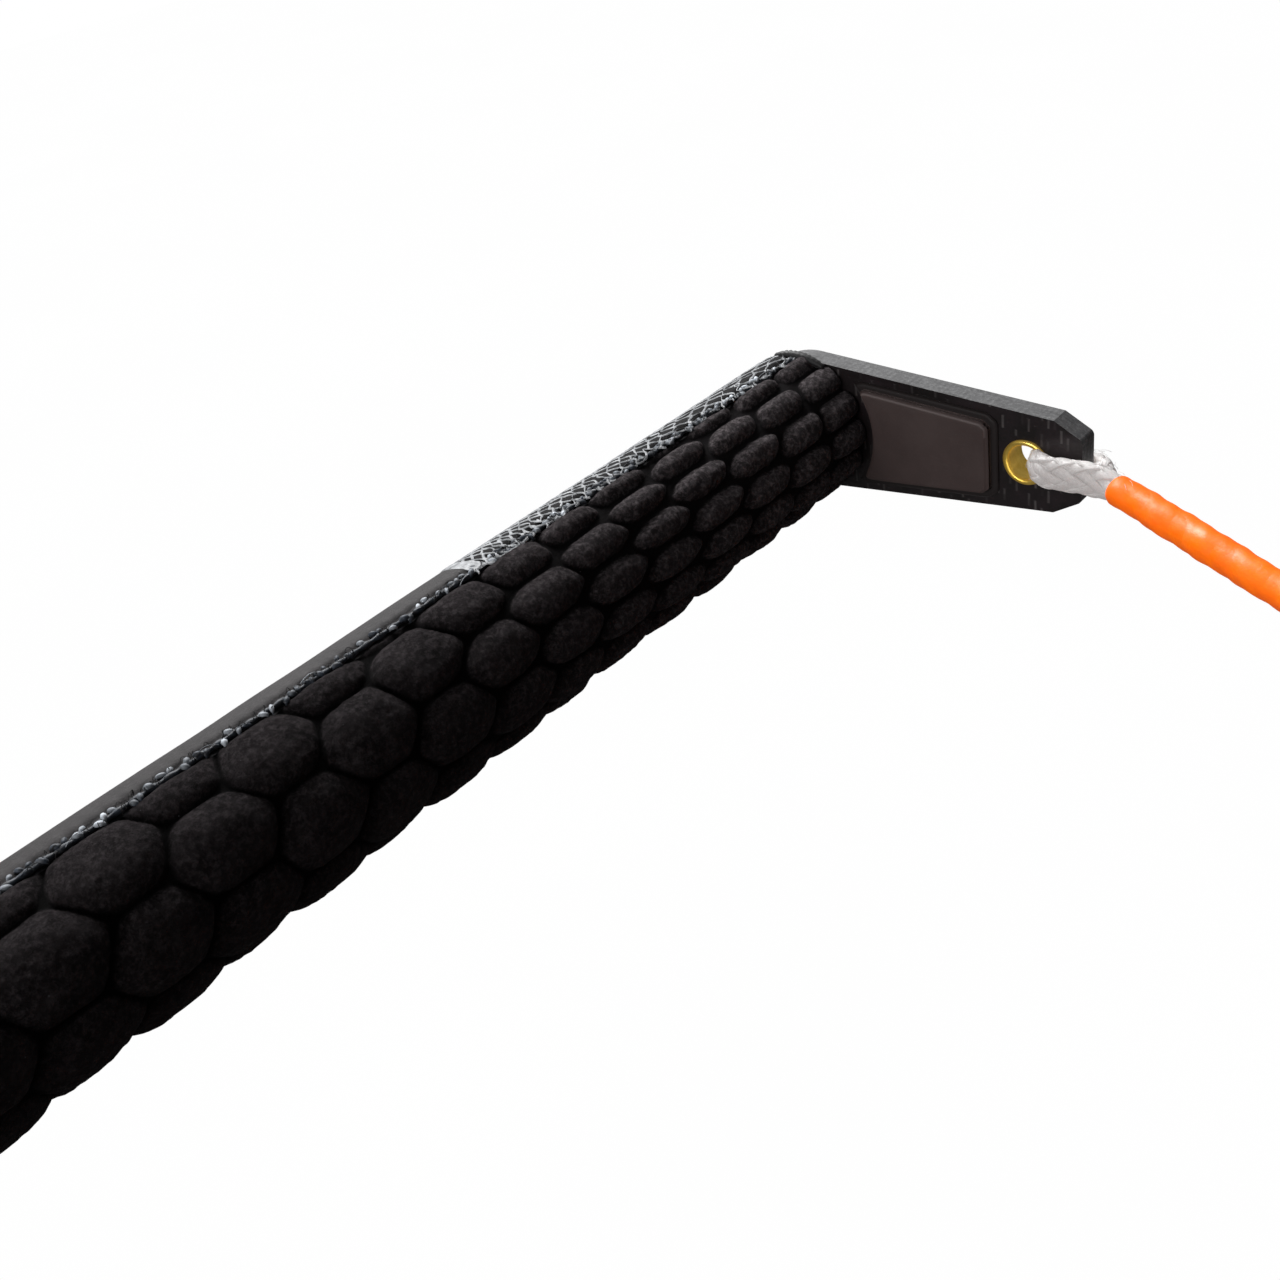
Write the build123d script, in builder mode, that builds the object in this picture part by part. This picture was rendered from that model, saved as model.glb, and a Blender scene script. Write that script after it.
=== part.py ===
"""Tow rope handle: a padded carbon bar between two carbon ears, with a rope bridle and a tow loop.

The bar lies along X with its axis on the X axis, and the rope pulls towards +Y. Z is up.
The origin is on the bar's axis, half way between the two ears. All sizes are millimetres.
The left side is modelled, and the right side is its mirror image in the YZ plane.
"""
from build123d import *
import os
from math import asin, cos, hypot, radians, sin, sqrt

os.makedirs("parts", exist_ok=True)

# ---- Driving dimensions ----
GRIP_SPAN = 330.0        # between the inner faces of the two ears
GRIP_RADIUS = 14.0       # outside of the padded grip, front side
EAR_THICKNESS = 4.3
EAR_BACK_RADIUS = 12.5   # the ear's back is round
EAR_BACK_CENTRE_Y = 1.5  # the middle of that round back, just in front of the bar's axis
EAR_TAPER = 4.85         # slope of its upper and lower edges, in degrees
EAR_TIP_Y = 54.8
TIP_CHAMFER_LENGTH = 5.0     # along the ear
TIP_CHAMFER_DROP = 2.9       # across the ear
GROMMET_Y = 44.8
GROMMET_THROAT_RADIUS = 3.15
LEG_ROPE_RADIUS = 2.3
STRAND_HALF_WIDTH = 2.75     # the braid flattens where it turns through the eyelet
STRAND_HALF_THICKNESS = 1.5
LEG_SAG = 4.0            # of each leg below the straight line from eyelet to apex
SPLICED_ROPE_RADIUS = 2.9
APEX_Y = 372.0           # where the two bridle legs meet
PITCH_PIVOT_Y = 402.0
YAW_PIVOT_Y = 440.0
LOOP_END_Y = 541.0       # middle of the rope at the loop's bight

# ---- Clearances ----
BOND_GAP = 0.05          # between bonded or touching neighbours
PIVOT_GAP = 0.2          # between rope ends that turn past each other

# ---- Sizes that follow from them, and stock sizes ----
EAR_INNER_X = -GRIP_SPAN / 2
EAR_OUTER_X = EAR_INNER_X - EAR_THICKNESS
EAR_MIDDLE_X = EAR_INNER_X - EAR_THICKNESS / 2
TIP_CORNER_RADIUS = 1.2

TUBE_RADIUS = 10.0
TUBE_BORE_RADIUS = 8.0
PLUG_LENGTH = 28.0
SCREW_SPACING = 8.8      # between the two screws of one ear, along Y
SCREW_RADIUS = 2.0
SCREW_HEAD_RADIUS = 3.9
SCREW_LENGTH = 16.0
SCREW_SOCKET_RADIUS = 1.45
SCREW_SOCKET_DEPTH = 1.6

FOAM_RADIUS = 12.0
PANEL_INNER_RADIUS = FOAM_RADIUS + BOND_GAP
BACK_PANEL_RADIUS = 13.5
NET_THICKNESS = 0.25
NET_LENGTH = 86.0
NET_EDGE_INSET = 0.8
SEAM_HALF_ANGLE = 2.0    # half of the gap between the two panels, in degrees
SEAM_CORD_RADIUS = 0.4
SEAM_RADIUS = 13.3       # from the bar's axis to the seam cord
GRIP_END_GAP = 0.2

PAD_CUT_RADIUS = 15.0    # the pad's rear edge follows the grip's end
PAD_FRONT_Y = 39.9
PAD_MARGIN = 1.3         # from the ear's sloping edge to the pad's flange
PAD_FLANGE_THICKNESS = 0.5
PAD_THICKNESS = 2.0
PAD_STEP = 1.05          # from the flange's edge to the raised body
PAD_CORNER_RADIUS = 1.6
PAD_TOP_FILLET = 0.5

EYELET_WALL = 0.35
LIP_WIDTH = 0.85
WASHER_THICKNESS = 0.3
WASHER_OUTER_RADIUS = 5.2

STRAND_OFFSET = 5.4      # from the ear's middle plane to the middle of a rope strand
STRAND_BEND_Y = GROMMET_Y + 5.8
MERGE_X = EAR_MIDDLE_X + 6.4    # where the two strands have become one leg
MERGE_Y = GROMMET_Y + 17.5
SLEEVE_INNER_RADIUS = LEG_ROPE_RADIUS + BOND_GAP
SLEEVE_RADIUS = 2.6

BOOT_ARM_LENGTH = 24.0
BOOT_ARM_RADIUS = 3.7
BOOT_STEM_RADIUS = 4.3
BOOT_FRONT_Y = 392.0
LEG_END_GAP = 6.0        # from the apex back to each rope's cut end
CUFF_RADIUS = 3.6
CUFF_LENGTH = 18.0
THROAT_REAR_Y = 450.0
THROAT_FRONT_Y = 478.0
THROAT_BORE_RADIUS = 4.05
THROAT_RADIUS = 4.6
LOOP_HALF_WIDTH = 13.0
CHAFE_HALF_ANGLE = 78.0
CHAFE_RADIUS = 3.0


def ear_half_height(y):
    """Half the ear's height at y: its edges are tangents to its round back."""
    forward = y - EAR_BACK_CENTRE_Y
    return (EAR_BACK_RADIUS - forward * sin(radians(EAR_TAPER))) / cos(radians(EAR_TAPER))


def inner_face(distance=0.0):
    """Sketch plane on the left ear's inner face: x runs along +Y, y along +Z, normal +X."""
    return Plane(origin=(EAR_INNER_X + distance, 0, 0), x_dir=(0, 1, 0), z_dir=(1, 0, 0))


def save(builder, name):
    """Labels a finished piece and writes it as parts/NAME.step."""
    builder.part.label = name
    export_step(builder.part, f"parts/{name}.step")


def save_pair(builder, name):
    """Writes the left piece and its mirror image for the right side."""
    save(builder, f"left_{name}")
    with BuildPart() as right:
        mirror(builder.part, about=Plane.YZ)
    save(right, f"right_{name}")


# ---- Ears ----
CHAMFER_START_Y = EAR_TIP_Y - TIP_CHAMFER_LENGTH
CHAMFER_START_Z = ear_half_height(CHAMFER_START_Y)
CHAMFER_END_Z = CHAMFER_START_Z - TIP_CHAMFER_DROP
TANGENT_Y = EAR_BACK_CENTRE_Y + EAR_BACK_RADIUS * sin(radians(EAR_TAPER))
TANGENT_Z = EAR_BACK_RADIUS * cos(radians(EAR_TAPER))

with BuildPart() as ear:
    with BuildSketch(inner_face()):
        with BuildLine():
            Polyline(
                (TANGENT_Y, TANGENT_Z),
                (CHAMFER_START_Y, CHAMFER_START_Z),
                (EAR_TIP_Y, CHAMFER_END_Z),
                (EAR_TIP_Y, -CHAMFER_END_Z),
                (CHAMFER_START_Y, -CHAMFER_START_Z),
                (TANGENT_Y, -TANGENT_Z),
            )
            ThreePointArc(
                (TANGENT_Y, -TANGENT_Z),
                (EAR_BACK_CENTRE_Y - EAR_BACK_RADIUS, 0),
                (TANGENT_Y, TANGENT_Z),
            )
        make_face()
        with Locations((GROMMET_Y, 0)):
            Circle(GROMMET_THROAT_RADIUS + EYELET_WALL + BOND_GAP, mode=Mode.SUBTRACT)
    extrude(amount=-EAR_THICKNESS)
    tip_corners = ear.edges().filter_by(Axis.X).group_by(Axis.Y)[-1]
    fillet(tip_corners, radius=TIP_CORNER_RADIUS)
    with Locations(Plane(origin=(EAR_OUTER_X, 0, 0), x_dir=(0, 1, 0), z_dir=(-1, 0, 0))):
        with GridLocations(SCREW_SPACING, 0, 2, 1):
            CounterSinkHole(
                radius=SCREW_RADIUS + BOND_GAP,
                counter_sink_radius=SCREW_HEAD_RADIUS + BOND_GAP,
                depth=EAR_THICKNESS,
                counter_sink_angle=90,
            )
save_pair(ear, "ear")

# ---- Rubber pads on the ears' inner faces ----
def pad_outline(inset, height):
    """The pad's outline at `height` over the ear, drawn `inset` inside the flange's edge."""
    cut_radius = PAD_CUT_RADIUS + inset / 4
    front = PAD_FRONT_Y - inset
    middle = ear_half_height(0) - PAD_MARGIN - inset
    front_half = ear_half_height(front) - PAD_MARGIN - inset
    slope = (middle - front_half) / front
    # where the sloping edge meets the round cut that clears the end of the grip
    square = 1 + slope**2
    reach = sqrt(square * cut_radius**2 - middle**2)
    rear = (middle * slope + reach) / square
    rear_half = middle - slope * rear
    with BuildSketch(inner_face(BOND_GAP + height)) as outline:
        with BuildLine():
            Polyline((rear, rear_half), (front, front_half), (front, -front_half), (rear, -rear_half))
            ThreePointArc((rear, -rear_half), (cut_radius, 0), (rear, rear_half))
        make_face()
        fillet(outline.vertices(), radius=PAD_CORNER_RADIUS)
    return outline.sketch


pad_flange = pad_outline(0, 0)
pad_body = pad_outline(PAD_STEP, PAD_FLANGE_THICKNESS)

with BuildPart() as ear_pad:
    extrude(pad_flange, amount=PAD_FLANGE_THICKNESS)
    extrude(pad_body, amount=PAD_THICKNESS - PAD_FLANGE_THICKNESS)
    top_edges = ear_pad.faces().sort_by(Axis.X)[-1].edges()
    fillet(top_edges, radius=PAD_TOP_FILLET)
save_pair(ear_pad, "ear_pad")

# ---- Eyelets: a rolled brass barrel, closed over a washer on the ear's outer face ----
GROMMET_AXIS = Axis((0, GROMMET_Y, 0), (1, 0, 0))
LIP_INNER_X = EAR_INNER_X + BOND_GAP
WASHER_FACE_X = EAR_OUTER_X - BOND_GAP
LIP_OUTER_X = WASHER_FACE_X - WASHER_THICKNESS - BOND_GAP
THROAT_Y = GROMMET_Y + GROMMET_THROAT_RADIUS
BARREL_Y = THROAT_Y + EYELET_WALL
LIP_EDGE_Y = THROAT_Y + LIP_WIDTH
LIP_CREST_Y = THROAT_Y + LIP_WIDTH / 2

with BuildPart() as eyelet:
    with BuildSketch():
        with BuildLine():
            Line((LIP_OUTER_X, THROAT_Y), (LIP_INNER_X, THROAT_Y))
            ThreePointArc(
                (LIP_INNER_X, THROAT_Y),
                (LIP_INNER_X + LIP_WIDTH / 2, LIP_CREST_Y),
                (LIP_INNER_X, LIP_EDGE_Y),
            )
            Polyline(
                (LIP_INNER_X, LIP_EDGE_Y),
                (LIP_INNER_X, BARREL_Y),
                (LIP_OUTER_X, BARREL_Y),
                (LIP_OUTER_X, LIP_EDGE_Y),
            )
            ThreePointArc(
                (LIP_OUTER_X, LIP_EDGE_Y),
                (LIP_OUTER_X - LIP_WIDTH / 2, LIP_CREST_Y),
                (LIP_OUTER_X, THROAT_Y),
            )
        make_face()
    revolve(axis=GROMMET_AXIS)
save_pair(eyelet, "eyelet")

with BuildPart() as eyelet_washer:
    with BuildSketch(inner_face(WASHER_FACE_X - EAR_INNER_X)):
        with Locations((GROMMET_Y, 0)):
            Circle(WASHER_OUTER_RADIUS)
            Circle(GROMMET_THROAT_RADIUS + EYELET_WALL + BOND_GAP, mode=Mode.SUBTRACT)
    extrude(amount=-WASHER_THICKNESS)
save_pair(eyelet_washer, "eyelet_washer")

# ---- Bar: carbon tube, buoyant core, and threaded plugs that the ears screw into ----
PLUG_OUTER_X = EAR_INNER_X + BOND_GAP
PLUG_INNER_X = PLUG_OUTER_X + PLUG_LENGTH
PLUG_HOLE_DEPTH = SCREW_LENGTH - EAR_THICKNESS + 2.0

with BuildPart() as bar_tube:
    with BuildSketch(Plane.YZ):
        Circle(TUBE_RADIUS)
        Circle(TUBE_BORE_RADIUS, mode=Mode.SUBTRACT)
    extrude(amount=GRIP_SPAN / 2 - BOND_GAP, both=True)
save(bar_tube, "bar_tube")

with BuildPart() as core_foam:
    with BuildSketch(Plane.YZ):
        Circle(TUBE_BORE_RADIUS - BOND_GAP)
    extrude(amount=-PLUG_INNER_X - BOND_GAP, both=True)
save(core_foam, "core_foam")

with BuildPart() as end_plug:
    with BuildSketch(Plane.YZ.offset(PLUG_OUTER_X)):
        Circle(TUBE_BORE_RADIUS - BOND_GAP)
    extrude(amount=PLUG_LENGTH)
    with BuildSketch(Plane.YZ.offset(PLUG_OUTER_X)):
        with GridLocations(SCREW_SPACING, 0, 2, 1):
            Circle(SCREW_RADIUS + BOND_GAP)
    extrude(amount=PLUG_HOLE_DEPTH, mode=Mode.SUBTRACT)
save_pair(end_plug, "end_plug")

with BuildPart() as ear_screws:
    for screw_y in (-SCREW_SPACING / 2, SCREW_SPACING / 2):
        with BuildSketch():
            with BuildLine():
                Polyline(
                    (EAR_OUTER_X, screw_y),
                    (EAR_OUTER_X, screw_y + SCREW_HEAD_RADIUS),
                    (EAR_OUTER_X + SCREW_HEAD_RADIUS - SCREW_RADIUS, screw_y + SCREW_RADIUS),
                    (EAR_OUTER_X + SCREW_LENGTH, screw_y + SCREW_RADIUS),
                    (EAR_OUTER_X + SCREW_LENGTH, screw_y),
                    close=True,
                )
            make_face()
        revolve(axis=Axis((0, screw_y, 0), (1, 0, 0)))
    with BuildSketch(Plane.YZ.offset(EAR_OUTER_X)):
        with GridLocations(SCREW_SPACING, 0, 2, 1):
            RegularPolygon(radius=SCREW_SOCKET_RADIUS, side_count=6)
    extrude(amount=SCREW_SOCKET_DEPTH, mode=Mode.SUBTRACT)
save_pair(ear_screws, "ear_screws")

# ---- Grip: foam sleeve, pebbled front panel, smooth back panel, seam cords and net prints ----
GRIP_HALF = GRIP_SPAN / 2 - GRIP_END_GAP

with BuildPart() as grip_foam:
    with BuildSketch(Plane.YZ):
        Circle(FOAM_RADIUS)
        Circle(TUBE_RADIUS + BOND_GAP, mode=Mode.SUBTRACT)
    extrude(amount=GRIP_HALF, both=True)
save(grip_foam, "grip_foam")


def ring_segment(inner, outer, middle_angle, half_angle):
    """Part of a ring round the bar, drawn on the YZ plane; angles run from +Y towards +Z."""
    start = middle_angle - half_angle
    end = middle_angle + half_angle

    def point(radius, angle):
        return (radius * cos(radians(angle)), radius * sin(radians(angle)))

    with BuildSketch(Plane.YZ) as segment:
        with BuildLine():
            ThreePointArc(point(outer, start), point(outer, middle_angle), point(outer, end))
            Line(point(outer, end), point(inner, end))
            ThreePointArc(point(inner, end), point(inner, middle_angle), point(inner, start))
            Line(point(inner, start), point(outer, start))
        make_face()
    return segment.sketch


PANEL_HALF_ANGLE = 90 - SEAM_HALF_ANGLE

front_section = ring_segment(PANEL_INNER_RADIUS, GRIP_RADIUS, 0, PANEL_HALF_ANGLE)

with BuildPart() as grip_front_panel:
    extrude(front_section, amount=GRIP_HALF, both=True)
save(grip_front_panel, "grip_front_panel")

back_section = ring_segment(PANEL_INNER_RADIUS, BACK_PANEL_RADIUS, 180, PANEL_HALF_ANGLE)

with BuildPart() as grip_back_panel:
    extrude(back_section, amount=GRIP_HALF, both=True)
save(grip_back_panel, "grip_back_panel")

for seam_name, seam_z in (("upper_seam", SEAM_RADIUS), ("lower_seam", -SEAM_RADIUS)):
    with BuildPart() as seam:
        with BuildSketch(Plane.YZ):
            with Locations((0, seam_z)):
                Circle(SEAM_CORD_RADIUS)
        extrude(amount=GRIP_HALF, both=True)
    save(seam, seam_name)

NET_INNER_RADIUS = BACK_PANEL_RADIUS + BOND_GAP
NET_HALF_ANGLE = PANEL_HALF_ANGLE - 2
NET_START = Location((NET_EDGE_INSET - GRIP_SPAN / 2, 0, 0))
net_section = ring_segment(
    NET_INNER_RADIUS, NET_INNER_RADIUS + NET_THICKNESS, 180, NET_HALF_ANGLE
).moved(NET_START)

with BuildPart() as grip_net:
    extrude(net_section, amount=NET_LENGTH)
save_pair(grip_net, "grip_net")

# ---- Bridle legs: a rope through each eyelet, spliced into one leg under a smooth sleeve ----
LEG_RUN_X = -MERGE_X
LEG_RUN_Y = APEX_Y - MERGE_Y
LEG_CHORD = hypot(LEG_RUN_X, LEG_RUN_Y)
LEG_BEND_RADIUS = (LEG_CHORD**2 / 4 + LEG_SAG**2) / (2 * LEG_SAG)
LEG_HALF_ANGLE = asin(LEG_CHORD / 2 / LEG_BEND_RADIUS)
LEG_LENGTH = 2 * LEG_HALF_ANGLE * LEG_BEND_RADIUS


def leg_point(distance):
    """A point on the left leg's sagging middle line, `distance` from where its strands merge."""
    angle = distance / LEG_BEND_RADIUS - LEG_HALF_ANGLE
    share = 0.5 + LEG_BEND_RADIUS * sin(angle) / LEG_CHORD
    drop = LEG_BEND_RADIUS * (cos(angle) - cos(LEG_HALF_ANGLE))
    return (MERGE_X + share * LEG_RUN_X, MERGE_Y + share * LEG_RUN_Y, -drop)


def leg_direction(distance):
    """The way the left leg's middle line runs, `distance` from the merge."""
    angle = distance / LEG_BEND_RADIUS - LEG_HALF_ANGLE
    level = cos(angle) / LEG_CHORD
    return (level * LEG_RUN_X, level * LEG_RUN_Y, sin(angle))


def leg_stretch(start, end, outer, inner=0.0):
    """A solid round stretch of the left leg between two distances, or a tube where inner isn't 0."""
    with BuildPart() as stretch:
        with BuildLine():
            ThreePointArc(leg_point(start), leg_point((start + end) / 2), leg_point(end))
        with BuildSketch(Plane(origin=leg_point(start), z_dir=leg_direction(start))):
            Circle(outer)
            if inner:
                Circle(inner, mode=Mode.SUBTRACT)
        sweep()
    return stretch.part


INNER_STRAND_X = EAR_MIDDLE_X + STRAND_OFFSET
OUTER_STRAND_X = EAR_MIDDLE_X - STRAND_OFFSET
EYE_START = (EAR_MIDDLE_X, STRAND_BEND_Y - STRAND_OFFSET)
EYE_DROP = STRAND_OFFSET * cos(radians(45))
SPLICE_TAIL = 0.6            # how far each strand runs into the leg
CROSSING = (EAR_MIDDLE_X - 1.0, GROMMET_Y + 14.2)    # in front of the ear's tip


def strand(side, bends):
    """One strand of the eye: from the middle of the eyelet, round its lip and on to the leg."""
    strand_x = EAR_MIDDLE_X + side * STRAND_OFFSET
    with BuildPart() as half_eye:
        with BuildLine():
            start = ThreePointArc(
                EYE_START,
                (EAR_MIDDLE_X + side * EYE_DROP, STRAND_BEND_Y - EYE_DROP),
                (strand_x, STRAND_BEND_Y),
            )
            Spline(
                (strand_x, STRAND_BEND_Y),
                *bends,
                leg_point(SPLICE_TAIL),
                tangents=[(0, 1, 0), leg_direction(SPLICE_TAIL)],
            )
        with BuildSketch(Plane(origin=start @ 0, x_dir=(0, 0, 1), z_dir=(side, 0, 0))):
            Ellipse(STRAND_HALF_WIDTH, STRAND_HALF_THICKNESS)
        sweep()
    return half_eye.part


inner_strand = strand(1, [(INNER_STRAND_X + 0.1, GROMMET_Y + 12)])
outer_strand = strand(-1, [(OUTER_STRAND_X + 0.2, GROMMET_Y + 10.5), CROSSING])
leg_core = leg_stretch(0.0, LEG_LENGTH - LEG_END_GAP, LEG_ROPE_RADIUS)

with BuildPart() as leg_rope:
    add(inner_strand)
    add(outer_strand)
    add(leg_core)
save_pair(leg_rope, "leg_rope")

SLEEVE_START = SPLICE_TAIL + 0.8
SLEEVE_END = LEG_LENGTH - BOOT_ARM_LENGTH - 0.5
left_sleeve = leg_stretch(SLEEVE_START, SLEEVE_END, SLEEVE_RADIUS, SLEEVE_INNER_RADIUS)

with BuildPart() as leg_sleeve:
    add(left_sleeve)
save_pair(leg_sleeve, "leg_sleeve")

# ---- Apex boot: a shrunk Y-shaped cover over the splice of both legs and the tow line ----
def across_y(y):
    """Sketch plane across the tow line, facing +Y."""
    return Plane(origin=(0, y, 0), x_dir=(1, 0, 0), z_dir=(0, 1, 0))


left_arm = leg_stretch(LEG_LENGTH - BOOT_ARM_LENGTH, LEG_LENGTH, BOOT_ARM_RADIUS)
left_arm_bore = leg_stretch(LEG_LENGTH - BOOT_ARM_LENGTH, LEG_LENGTH, SLEEVE_INNER_RADIUS)

with BuildPart() as apex_boot:
    add(left_arm)
    mirror(left_arm, about=Plane.YZ)
    with BuildSketch(across_y(APEX_Y)):
        Circle(BOOT_STEM_RADIUS)
    extrude(amount=BOOT_FRONT_Y - APEX_Y)
    with Locations((0, APEX_Y, 0)):
        Sphere(BOOT_STEM_RADIUS)
    add(left_arm_bore, mode=Mode.SUBTRACT)
    mirror(left_arm_bore, about=Plane.YZ, mode=Mode.SUBTRACT)
    with BuildSketch(across_y(APEX_Y)):
        Circle(SPLICED_ROPE_RADIUS + BOND_GAP)
    extrude(amount=BOOT_FRONT_Y - APEX_Y, mode=Mode.SUBTRACT)
save(apex_boot, "apex_boot")

with BuildPart() as splice_core:
    with BuildSketch(across_y(APEX_Y + BOND_GAP)):
        Circle(SPLICED_ROPE_RADIUS)
    extrude(amount=PITCH_PIVOT_Y - SPLICED_ROPE_RADIUS - PIVOT_GAP - APEX_Y - BOND_GAP)
save(splice_core, "splice_core")

# ---- Link: the short length of rope that bends up and down behind the apex boot ----
LINK_FRONT_Y = YAW_PIVOT_Y - SPLICED_ROPE_RADIUS - PIVOT_GAP
CUFF_REAR_Y = (PITCH_PIVOT_Y + YAW_PIVOT_Y - CUFF_LENGTH) / 2

with BuildPart() as link_rope:
    with BuildSketch(across_y(PITCH_PIVOT_Y)):
        Circle(SPLICED_ROPE_RADIUS)
    extrude(amount=LINK_FRONT_Y - PITCH_PIVOT_Y)
    with Locations((0, PITCH_PIVOT_Y, 0)):
        Sphere(SPLICED_ROPE_RADIUS)
save(link_rope, "link_rope")

with BuildPart() as link_cuff:
    with BuildSketch(across_y(CUFF_REAR_Y)):
        Circle(CUFF_RADIUS)
        Circle(SPLICED_ROPE_RADIUS + BOND_GAP, mode=Mode.SUBTRACT)
    extrude(amount=CUFF_LENGTH)
save(link_cuff, "link_cuff")

# ---- Tow loop: the rope turns back on itself and is spliced at the throat ----
BIGHT_CENTRE_Y = LOOP_END_Y - LOOP_HALF_WIDTH
THROAT_STRAND_X = 1.5
STRAND_START_Y = THROAT_FRONT_Y - 12

with BuildPart() as tow_loop_rope:
    for side in (1, -1):
        with BuildLine() as loop_strand:
            start = Line(
                (side * THROAT_STRAND_X, STRAND_START_Y),
                (side * THROAT_STRAND_X, THROAT_FRONT_Y + 1),
            )
            Spline(
                (side * THROAT_STRAND_X, THROAT_FRONT_Y + 1),
                (side * LOOP_HALF_WIDTH, BIGHT_CENTRE_Y),
                tangents=[(0, 1), (0, 1)],
            )
            ThreePointArc(
                (side * LOOP_HALF_WIDTH, BIGHT_CENTRE_Y),
                (
                    side * LOOP_HALF_WIDTH * cos(radians(45)),
                    BIGHT_CENTRE_Y + LOOP_HALF_WIDTH * sin(radians(45)),
                ),
                (0, LOOP_END_Y),
            )
        with BuildSketch(Plane(origin=start @ 0, x_dir=(1, 0, 0), z_dir=(0, 1, 0))):
            Circle(LEG_ROPE_RADIUS)
        sweep(path=loop_strand.line)
    with BuildSketch(across_y(YAW_PIVOT_Y)):
        Circle(SPLICED_ROPE_RADIUS)
    extrude(amount=STRAND_START_Y + 2 - YAW_PIVOT_Y)
    with Locations((0, YAW_PIVOT_Y, 0)):
        Sphere(SPLICED_ROPE_RADIUS)
save(tow_loop_rope, "tow_loop_rope")

with BuildPart() as throat_shrink:
    with BuildSketch(across_y(THROAT_REAR_Y)):
        Circle(THROAT_RADIUS)
        Circle(THROAT_BORE_RADIUS, mode=Mode.SUBTRACT)
    extrude(amount=THROAT_FRONT_Y - THROAT_REAR_Y)
save(throat_shrink, "throat_shrink")


def bight_point(angle):
    """A point on the rope's middle line round the loop's bight; angle from +Y towards +X."""
    return (
        LOOP_HALF_WIDTH * sin(radians(angle)),
        BIGHT_CENTRE_Y + LOOP_HALF_WIDTH * cos(radians(angle)),
    )


with BuildPart() as loop_chafe_sleeve:
    with BuildLine() as bight:
        arc = ThreePointArc(
            bight_point(CHAFE_HALF_ANGLE), bight_point(0), bight_point(-CHAFE_HALF_ANGLE)
        )
    with BuildSketch(Plane(origin=arc @ 0, z_dir=arc % 0)):
        Circle(CHAFE_RADIUS)
        Circle(SLEEVE_INNER_RADIUS, mode=Mode.SUBTRACT)
    sweep(path=bight.line)
save(loop_chafe_sleeve, "loop_chafe_sleeve")
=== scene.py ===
"""Looks for the tow rope handle: pebbled grip, carbon ears, brass eyelets, braided rope, coated legs.

Everything is in metres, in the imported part's frame: the bar lies along X, the rope pulls towards +Y
and Z is up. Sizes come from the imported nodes' boxes, or are named here where only the looks need them.
The left end is built first, and the right end is its mirror image in the YZ plane.
"""

from math import asin, atan2, ceil, cos, pi, radians, sin, tan, tau

import bpy
import numpy as np
from mathutils import Matrix, Vector


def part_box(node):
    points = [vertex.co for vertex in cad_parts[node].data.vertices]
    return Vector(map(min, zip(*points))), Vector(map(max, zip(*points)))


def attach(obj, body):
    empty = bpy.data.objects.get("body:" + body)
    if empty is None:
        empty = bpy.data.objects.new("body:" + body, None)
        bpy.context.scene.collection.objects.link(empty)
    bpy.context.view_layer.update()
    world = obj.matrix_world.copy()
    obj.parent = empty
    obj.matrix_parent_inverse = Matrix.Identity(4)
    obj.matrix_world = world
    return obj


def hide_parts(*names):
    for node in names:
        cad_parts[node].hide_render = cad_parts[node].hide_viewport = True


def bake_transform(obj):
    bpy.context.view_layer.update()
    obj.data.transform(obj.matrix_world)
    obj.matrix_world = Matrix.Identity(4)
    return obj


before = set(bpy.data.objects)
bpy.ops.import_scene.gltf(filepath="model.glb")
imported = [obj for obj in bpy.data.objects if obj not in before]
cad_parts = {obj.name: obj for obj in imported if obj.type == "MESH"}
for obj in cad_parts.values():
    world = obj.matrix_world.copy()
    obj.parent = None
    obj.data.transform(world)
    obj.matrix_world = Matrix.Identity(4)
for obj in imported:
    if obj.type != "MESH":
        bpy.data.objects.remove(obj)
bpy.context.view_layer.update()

MM = 0.001
UP = (0, 0, 1)
SIDES = ("left", "right")
rng = np.random.default_rng(7)

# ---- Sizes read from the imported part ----
GRIP_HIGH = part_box("grip_front_panel")[1]
GRIP_END = GRIP_HIGH.x
GRIP_RADIUS = GRIP_HIGH.z / cos(radians(2.0))
BACK_RADIUS = -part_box("grip_back_panel")[0].y
PANEL_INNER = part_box("grip_foam")[1].z + 0.05 * MM
EAR_LOW, EAR_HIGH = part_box("left_ear")
EAR_INNER = EAR_HIGH.x
EAR_MIDDLE = (EAR_INNER + EAR_LOW.x) / 2
EYELET_LOW, EYELET_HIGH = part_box("left_eyelet")
GROMMET_Y = (EYELET_LOW.y + EYELET_HIGH.y) / 2
EYELET_RADIUS = (EYELET_HIGH.y - EYELET_LOW.y) / 2
NET_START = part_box("right_grip_net")[0].x + 2.5 * MM


def smooth(t):
    """0 below 0, 1 above 1, and an even S curve between."""
    t = np.clip(t, 0.0, 1.0)
    return t * t * (3 - 2 * t)


def falloff(distance, reach):
    """1 at distance 0, down to 0 at reach and beyond."""
    return np.clip(1 - distance / reach, 0, 1)


# ---- Mesh helpers ----

def add_object(name, data):
    """A new object in the scene."""
    item = bpy.data.objects.new(name, data)
    bpy.context.scene.collection.objects.link(item)
    return item


def add_mesh(name, vertices, faces):
    """A new object with a mesh of these vertices and faces."""
    mesh = bpy.data.meshes.new(name)
    mesh.from_pydata([tuple(v) for v in vertices], [], faces)
    return add_object(name, mesh)


def make_piece(name, vertices, faces, body, finish, node):
    """A smooth piece that stands for a CAD node, and rides a body if one is given."""
    piece = add_mesh(name, vertices, faces)
    piece.data.validate()
    piece.data.materials.append(finish.material)
    piece.data.polygons.foreach_set("use_smooth", [True] * len(piece.data.polygons))
    piece.data.update()
    if body:
        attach(piece, body)
    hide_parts(node)
    return piece


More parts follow.
